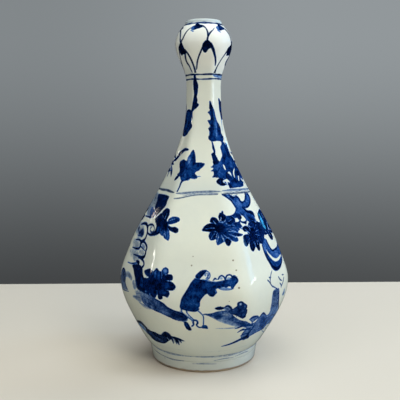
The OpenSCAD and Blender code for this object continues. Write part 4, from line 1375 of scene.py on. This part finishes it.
neck_glaze, *_ = glazed("neck_glaze", GLAZE_THIN, GLAZE_POOLED, pool_from=160, pool_to=140, bleed=0.38)
moulded("neck_moulded", (shoulder, waist, collar), NECK_COLUMNS, NECK_ROWS, neck_glaze,
        "neck", "collar_slip")

# Garlic bulb
# The bulb under the lip, moulded with six soft lobes. Two rows of petals are drawn on it in line, each
# with a dark tip, like the cloves of a head of garlic.
BULB_RISE = 23.4
BULB_CRISPNESS = 5
BULB_WALL = 3.2
BULB_CLOSING = 1.05
BULB_COLUMNS = 420
BULB_ROWS = (130, 14)
BULB_THIN = colour(242, 245, 239)
BULB_POOLED = colour(224, 230, 225)
LIP_SEAM = seam("garlic_bulb", "mouth_lip")
LIP_RADIUS = half_width("mouth_lip")
bulb_middle = (COLLAR_SEAM + BULB_RISE, half_width("garlic_bulb"), 0, BULB_CRISPNESS, BULB_WALL)
bulb_top = (LIP_SEAM, LIP_RADIUS, -BULB_CLOSING, ROUND, BULB_WALL)


def clove_before(tip):
    """A petal of the front row: a broad dark tip, and sides that run down to the collar."""
    wash(tip, [
        (0.4, 259.8), (2, 258.6), (3.2, 255.6), (4.6, 252.6), (4.8, 251), (3, 249.8), (0, 250.2),
        (-3.4, 249.6), (-4.6, 251.6), (-5.6, 254.6), (-3, 257), (-1, 258.6)], 1.0)
    stroke(tip, [
        (4.2, 253), (6.3, 249.6), (7.2, 245), (7.2, 240), (7, 236), (7, 234.6)],
        [1.6, 1.5, 1.4, 1.2, 1.4, 2.2], 0.95, grey=0.4)
    stroke(tip, [
        (-5, 253.4), (-6.6, 250), (-8, 246.8), (-8.8, 244), (-9.4, 241.2), (-9.7, 238.4), (-10, 235.6)],
        [1.8, 1.2, 1.1, 1.1, 1.2, 1.6, 2.2], 0.88, grey=0.6)
    stroke(tip, [
        (2.7, 249.6), (1.1, 246), (1.2, 243.6), (2.7, 241.4), (3.4, 238.6), (4.2, 236.2)],
        [2.2, 2.2, 2.0, 1.6, 1.2, 0.9], 0.8, grey=0.5)
    stroke(tip, [
        (0.7, 259.4), (3, 261.6), (4.2, 264.4), (5.6, 267.6), (7.3, 269.6)], [1.8, 1.4, 1.3, 1.1, 0.7],
        0.88, grey=0.6)
    stroke(tip, [
        (-0.5, 259.6), (-1.1, 264), (-3, 267.6), (-5.9, 270), (-8.9, 270.6)], [1.6, 1.7, 1.8, 1.6, 1.0],
        0.75, grey=0.5)


def clove_behind(tip):
    """A petal of the back row: a narrower tip, and sides that end before the collar."""
    wash(tip, [
        (0.4, 260), (2.4, 258.6), (4, 256.4), (4.6, 254.6), (3, 253.6), (1.4, 253), (0.4, 251.4),
        (-1, 250.4), (-2.6, 251.4), (-3.6, 254), (-3.2, 256.4), (-2, 258.4), (-0.4, 259.6)], 1.0)
    stroke(tip, [
        (-3.3, 254), (-4.8, 250.6), (-6.2, 247), (-7, 243.6), (-7.2, 240), (-7.3, 238.4)],
        [1.2, 1.2, 1.1, 1.1, 0.9, 0.6], 0.92, grey=0.6)
    stroke(tip, [
        (3, 256.6), (4.9, 253.4), (6.2, 250), (7.2, 247), (7.8, 243.6), (7.6, 241.4)],
        [2.6, 2.2, 1.8, 1.5, 1.4, 0.8], 0.93)
    stroke(tip, [
        (0.4, 260), (1.1, 262.6), (2.3, 264.6), (3.9, 266.6), (4.9, 267.4), (6.5, 269.4)],
        [1.3, 1.2, 1.1, 0.9, 0.6, 0.3], 0.88, grey=0.6)
    stroke(tip, [
        (0.9, 262.6), (0.8, 265.4), (0.3, 267.4), (-0.5, 269), (-2, 270.6), (-3.7, 271.2)],
        [1.0, 1.1, 1.0, 0.8, 1.2, 1.6], 0.88, grey=0.6)


for angle in (10, 130, 250):
    clove_behind(angle)
for angle in (80, 190, 310):
    clove_before(angle)
for angle in (-12, 49, 110, 170, 230, 290):
    wash(angle, [
        (-4.6, 270), (-2.2, 271.8), (-0.8, 274), (1, 272.8), (3.6, 271.4), (5, 270.6), (3, 269.4),
        (0.6, 268.6), (-2, 267.8), (-4, 268.2)], 0.9)
    pool(angle, [(-4.6, 270), (-2.4, 271), (-2.4, 268.4), (-4, 268.2)], 0.5, 0.8)
    stroke(angle, [(-4.6, 267.6), (-2.8, 266.8)], [0.8, 1.2], 0.35)
band(273.8, 1.5, 0.66, 0.15, 1.0, 0.5)

bulb_glaze, *_ = glazed("bulb_glaze", BULB_THIN, BULB_POOLED, pool_from=244, pool_to=235, bleed=0.34)
moulded("garlic_bulb_moulded", (collar, bulb_middle, bulb_top), BULB_COLUMNS, BULB_ROWS, bulb_glaze,
        "garlic_bulb", "lip_slip")

# Lip
# The short upright lip, turned and luted on the bulb. The glaze is thin on its half-round edge, where the
# body shows a little warmer, and has frayed off in a few places.
LIP_WALL = 3.2
LIP_COLUMNS = 300
LIP_STEP = 0.4
LIP_PAINTED = 0.3
EDGE_STEPS = 14
LIP_THIN = colour(206, 220, 224)
LIP_WORN = colour(212, 212, 202)
LIP_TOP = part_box("mouth_lip")[1].z / MM
half_wall = LIP_WALL / 2
lip_outline = [(LIP_RADIUS - half_wall, LIP_SEAM), (LIP_RADIUS, LIP_SEAM)]
for turn in np.linspace(0, math.pi, EDGE_STEPS):
    out, drop = half_wall * math.cos(turn), half_wall * (1 - math.sin(turn))
    lip_outline.append((LIP_RADIUS - half_wall + out, LIP_TOP - drop))
lip_outline += [(LIP_RADIUS - LIP_WALL, LIP_SEAM), lip_outline[0]]
lip = turned("lip_turned", divided(lip_outline, LIP_STEP)[:-1], LIP_COLUMNS)
lip_glaze, lip_base, lip_colour = glazed(
    "lip_glaze", LIP_THIN, GLAZE_POOLED, pool_from=275, pool_to=270, bleed=0.28)
clay, clay_height = on_clay(lip_glaze.node_tree)
frayed = clay_height + noise(clay, 260, 4) * (1.6 * MM)
thinned = eases(frayed, (LIP_TOP - 0.1) * MM, (LIP_TOP + 0.9) * MM, 0.0, 0.7)
feed(lip_colour, blended(thinned, lip_base, LIP_WORN))
paint(lip, radii(lip) > LIP_RADIUS - LIP_PAINTED, radii(lip))
finished(lip, lip_glaze, "glazed_porcelain", "mouth_lip")

# Studio
# A pale table that ends behind the vase, and a grey backdrop with painted shade: darker downwards and a
# little darker to the left. Soft lamps light it from above, the front right, the right, the left and
# behind, and small ones are mirrored in the glaze.
TABLE_BACK = 0.2394
TABLE_SKEW = 0.0943
TABLE_REACH = 1.6
TABLE_FRONT = -1.4
TABLE_DROP = 0.3
TABLE_ROUGH = 0.9
TABLE_GLOSS = 0.1
TABLE_TOP = colour(209, 202, 190)
TABLE_EDGE = colour(200, 193, 183)


def flat_panel(name, corners, tint):
    """A flat stage panel with a plain soft finish."""
    mesh = bpy.data.meshes.new(name)
    mesh.from_pydata(corners, [], [(0, 1, 2, 3)])
    panel = placed(name, mesh)
    finish = bpy.data.materials.new(name)
    finish.use_nodes = True
    shader = finish.node_tree.nodes["Principled BSDF"].inputs
    feed(shader["Base Color"], tint)
    feed(shader["Roughness"], TABLE_ROUGH)
    feed(shader["Specular IOR Level"], TABLE_GLOSS)
    mesh.materials.append(finish)
    return panel


front_left, front_right = ((x, TABLE_FRONT, 0) for x in (-TABLE_REACH, TABLE_REACH))
back_left, back_right = ((x, TABLE_BACK + x * TABLE_SKEW, 0) for x in (-TABLE_REACH, TABLE_REACH))
low_left, low_right = ((x, y, -TABLE_DROP) for x, y, _ in (back_left, back_right))
table_top = flat_panel("table_top", [front_left, front_right, back_right, back_left], TABLE_TOP)
table_top.visible_glossy = False
flat_panel("table_edge", [back_left, back_right, low_right, low_left], TABLE_EDGE)


def soft_lamp(name, place, aim, wide, tall, watts, tint, glints=False):
    """A rectangular lamp that looks at a point; only one with glints is mirrored in the glaze."""
    light = bpy.data.lights.new(name, "AREA")
    light.shape = "RECTANGLE"
    light.size = wide
    light.size_y = tall
    light.energy = watts
    light.color = tint
    lamp = placed(name, light)
    lamp.location = place
    lamp.visible_glossy = glints
    across, along, up = np.subtract(aim, place)
    lamp.rotation_euler = (
        math.atan2(math.hypot(across, along), -up), 0, math.atan2(along, across) - math.pi / 2)


soft_lamp("ceiling", (0.0, -0.3, 1.4), (0, 0, 0.1), 1.2, 1.2, 14.5, (0.92, 0.98, 0.94))
soft_lamp("right_front", (0.72, -0.96, 0.8), (0, 0, 0.12), 0.5, 0.5, 6.0, (1.0, 0.92, 0.8))
soft_lamp("right_high", (0.75, -0.35, 1.1), (0, 0, 0.12), 0.4, 0.4, 3.6, (0.8, 0.88, 1.0))
soft_lamp("left_high", (-0.75, -0.5, 1.1), (0, 0, 0.12), 0.4, 0.4, 1.6, (0.95, 0.9, 1.0))
soft_lamp("sky_right", (1.85, 0.53, 0.95), (0, 0, 0.15), 0.7, 1.2, 11.5, (0.55, 0.75, 1.0))
soft_lamp("sky_side", (2.33, 0.36, 0.70), (0, 0, 0.1), 0.7, 0.7, 5.0, (0.12, 0.5, 1.0), True)
soft_lamp("lamp_right", (2.40, 0.30, 0.37), (0, 0, 0.2), 1.0, 0.14, 3.2, (0.96, 0.98, 1.0), True)
soft_lamp("back_fill", (0.55, 1.15, 0.8), (0, 0, 0.1), 0.8, 0.5, 7.0, (0.95, 0.98, 1.0))
soft_lamp("window_right", (2.33, 1.95, 0.92), (0.05, 0, 0.12), 0.3, 0.12, 1.2, (0.06, 0.5, 1.0), True)
soft_lamp("lamp_left", (-2.32, 1.95, 0.80), (-0.04, 0, 0.12), 0.02, 0.1, 0.11, (1.0, 0.9, 0.82), True)
soft_lamp("lamp_side", (-3.02, 0.2, 0.90), (-0.04, 0, 0.1), 0.7, 0.12, 5.3, (1.0, 0.97, 0.92), True)
soft_lamp("window_left", (-1.02, -1.38, 1.22), (-0.02, -0.05, 0.1), 0.08, 0.05, 0.5, (1, 1, 0.95), True)

ROOM_LIGHT = 0.02
ROOM_DARK = colour(70, 72, 73)
ROOM_PALE = colour(146, 152, 155)
world = bpy.data.worlds.new("room_light")
world.use_nodes = True
room = world.node_tree
# Painted shade on the backdrop that the camera sees: it darkens downwards, and a little towards the left.
gaze = node(room, "ShaderNodeSeparateXYZ", {"Vector": node(room, "ShaderNodeTexCoord")["Generated"]})
seen = node(room, "ShaderNodeLightPath")["Is Camera Ray"]
sides = eases(gaze["X"], -0.35, 0.1, 0.78, 1.0)
background = room.nodes["Background"].inputs
feed(background["Color"], blended(eases(gaze["Z"], -0.3, 0.16), ROOM_DARK, ROOM_PALE))
feed(background["Strength"], eases(seen, 0.0, 1.0, ROOM_LIGHT, sides))
bpy.context.scene.world = world
bpy.context.scene.view_settings.view_transform = "Standard"

CAMERA_DISTANCE = 0.4982
CAMERA_HEIGHT = 0.1896
CAMERA_TURN = math.radians(4)
CAMERA_PITCH = math.radians(6.56)
SENSOR = 36.0
PHOTO_SIDE = 400
FOCAL_PIXELS = 599.9
AXIS_PIXEL = 203.7
NEAREST_SEEN = 0.01
eye = bpy.data.cameras.new("camera")
eye.sensor_width = SENSOR
eye.sensor_fit = "HORIZONTAL"
eye.lens = SENSOR * FOCAL_PIXELS / PHOTO_SIDE
eye.shift_x = -(AXIS_PIXEL - PHOTO_SIDE / 2) / PHOTO_SIDE
eye.clip_start = NEAREST_SEEN
camera = placed("camera", eye)
camera.location = (
    CAMERA_DISTANCE * math.sin(CAMERA_TURN), -CAMERA_DISTANCE * math.cos(CAMERA_TURN), CAMERA_HEIGHT)
camera.rotation_euler = (math.pi / 2 - CAMERA_PITCH, 0, CAMERA_TURN)
bpy.context.scene.camera = camera
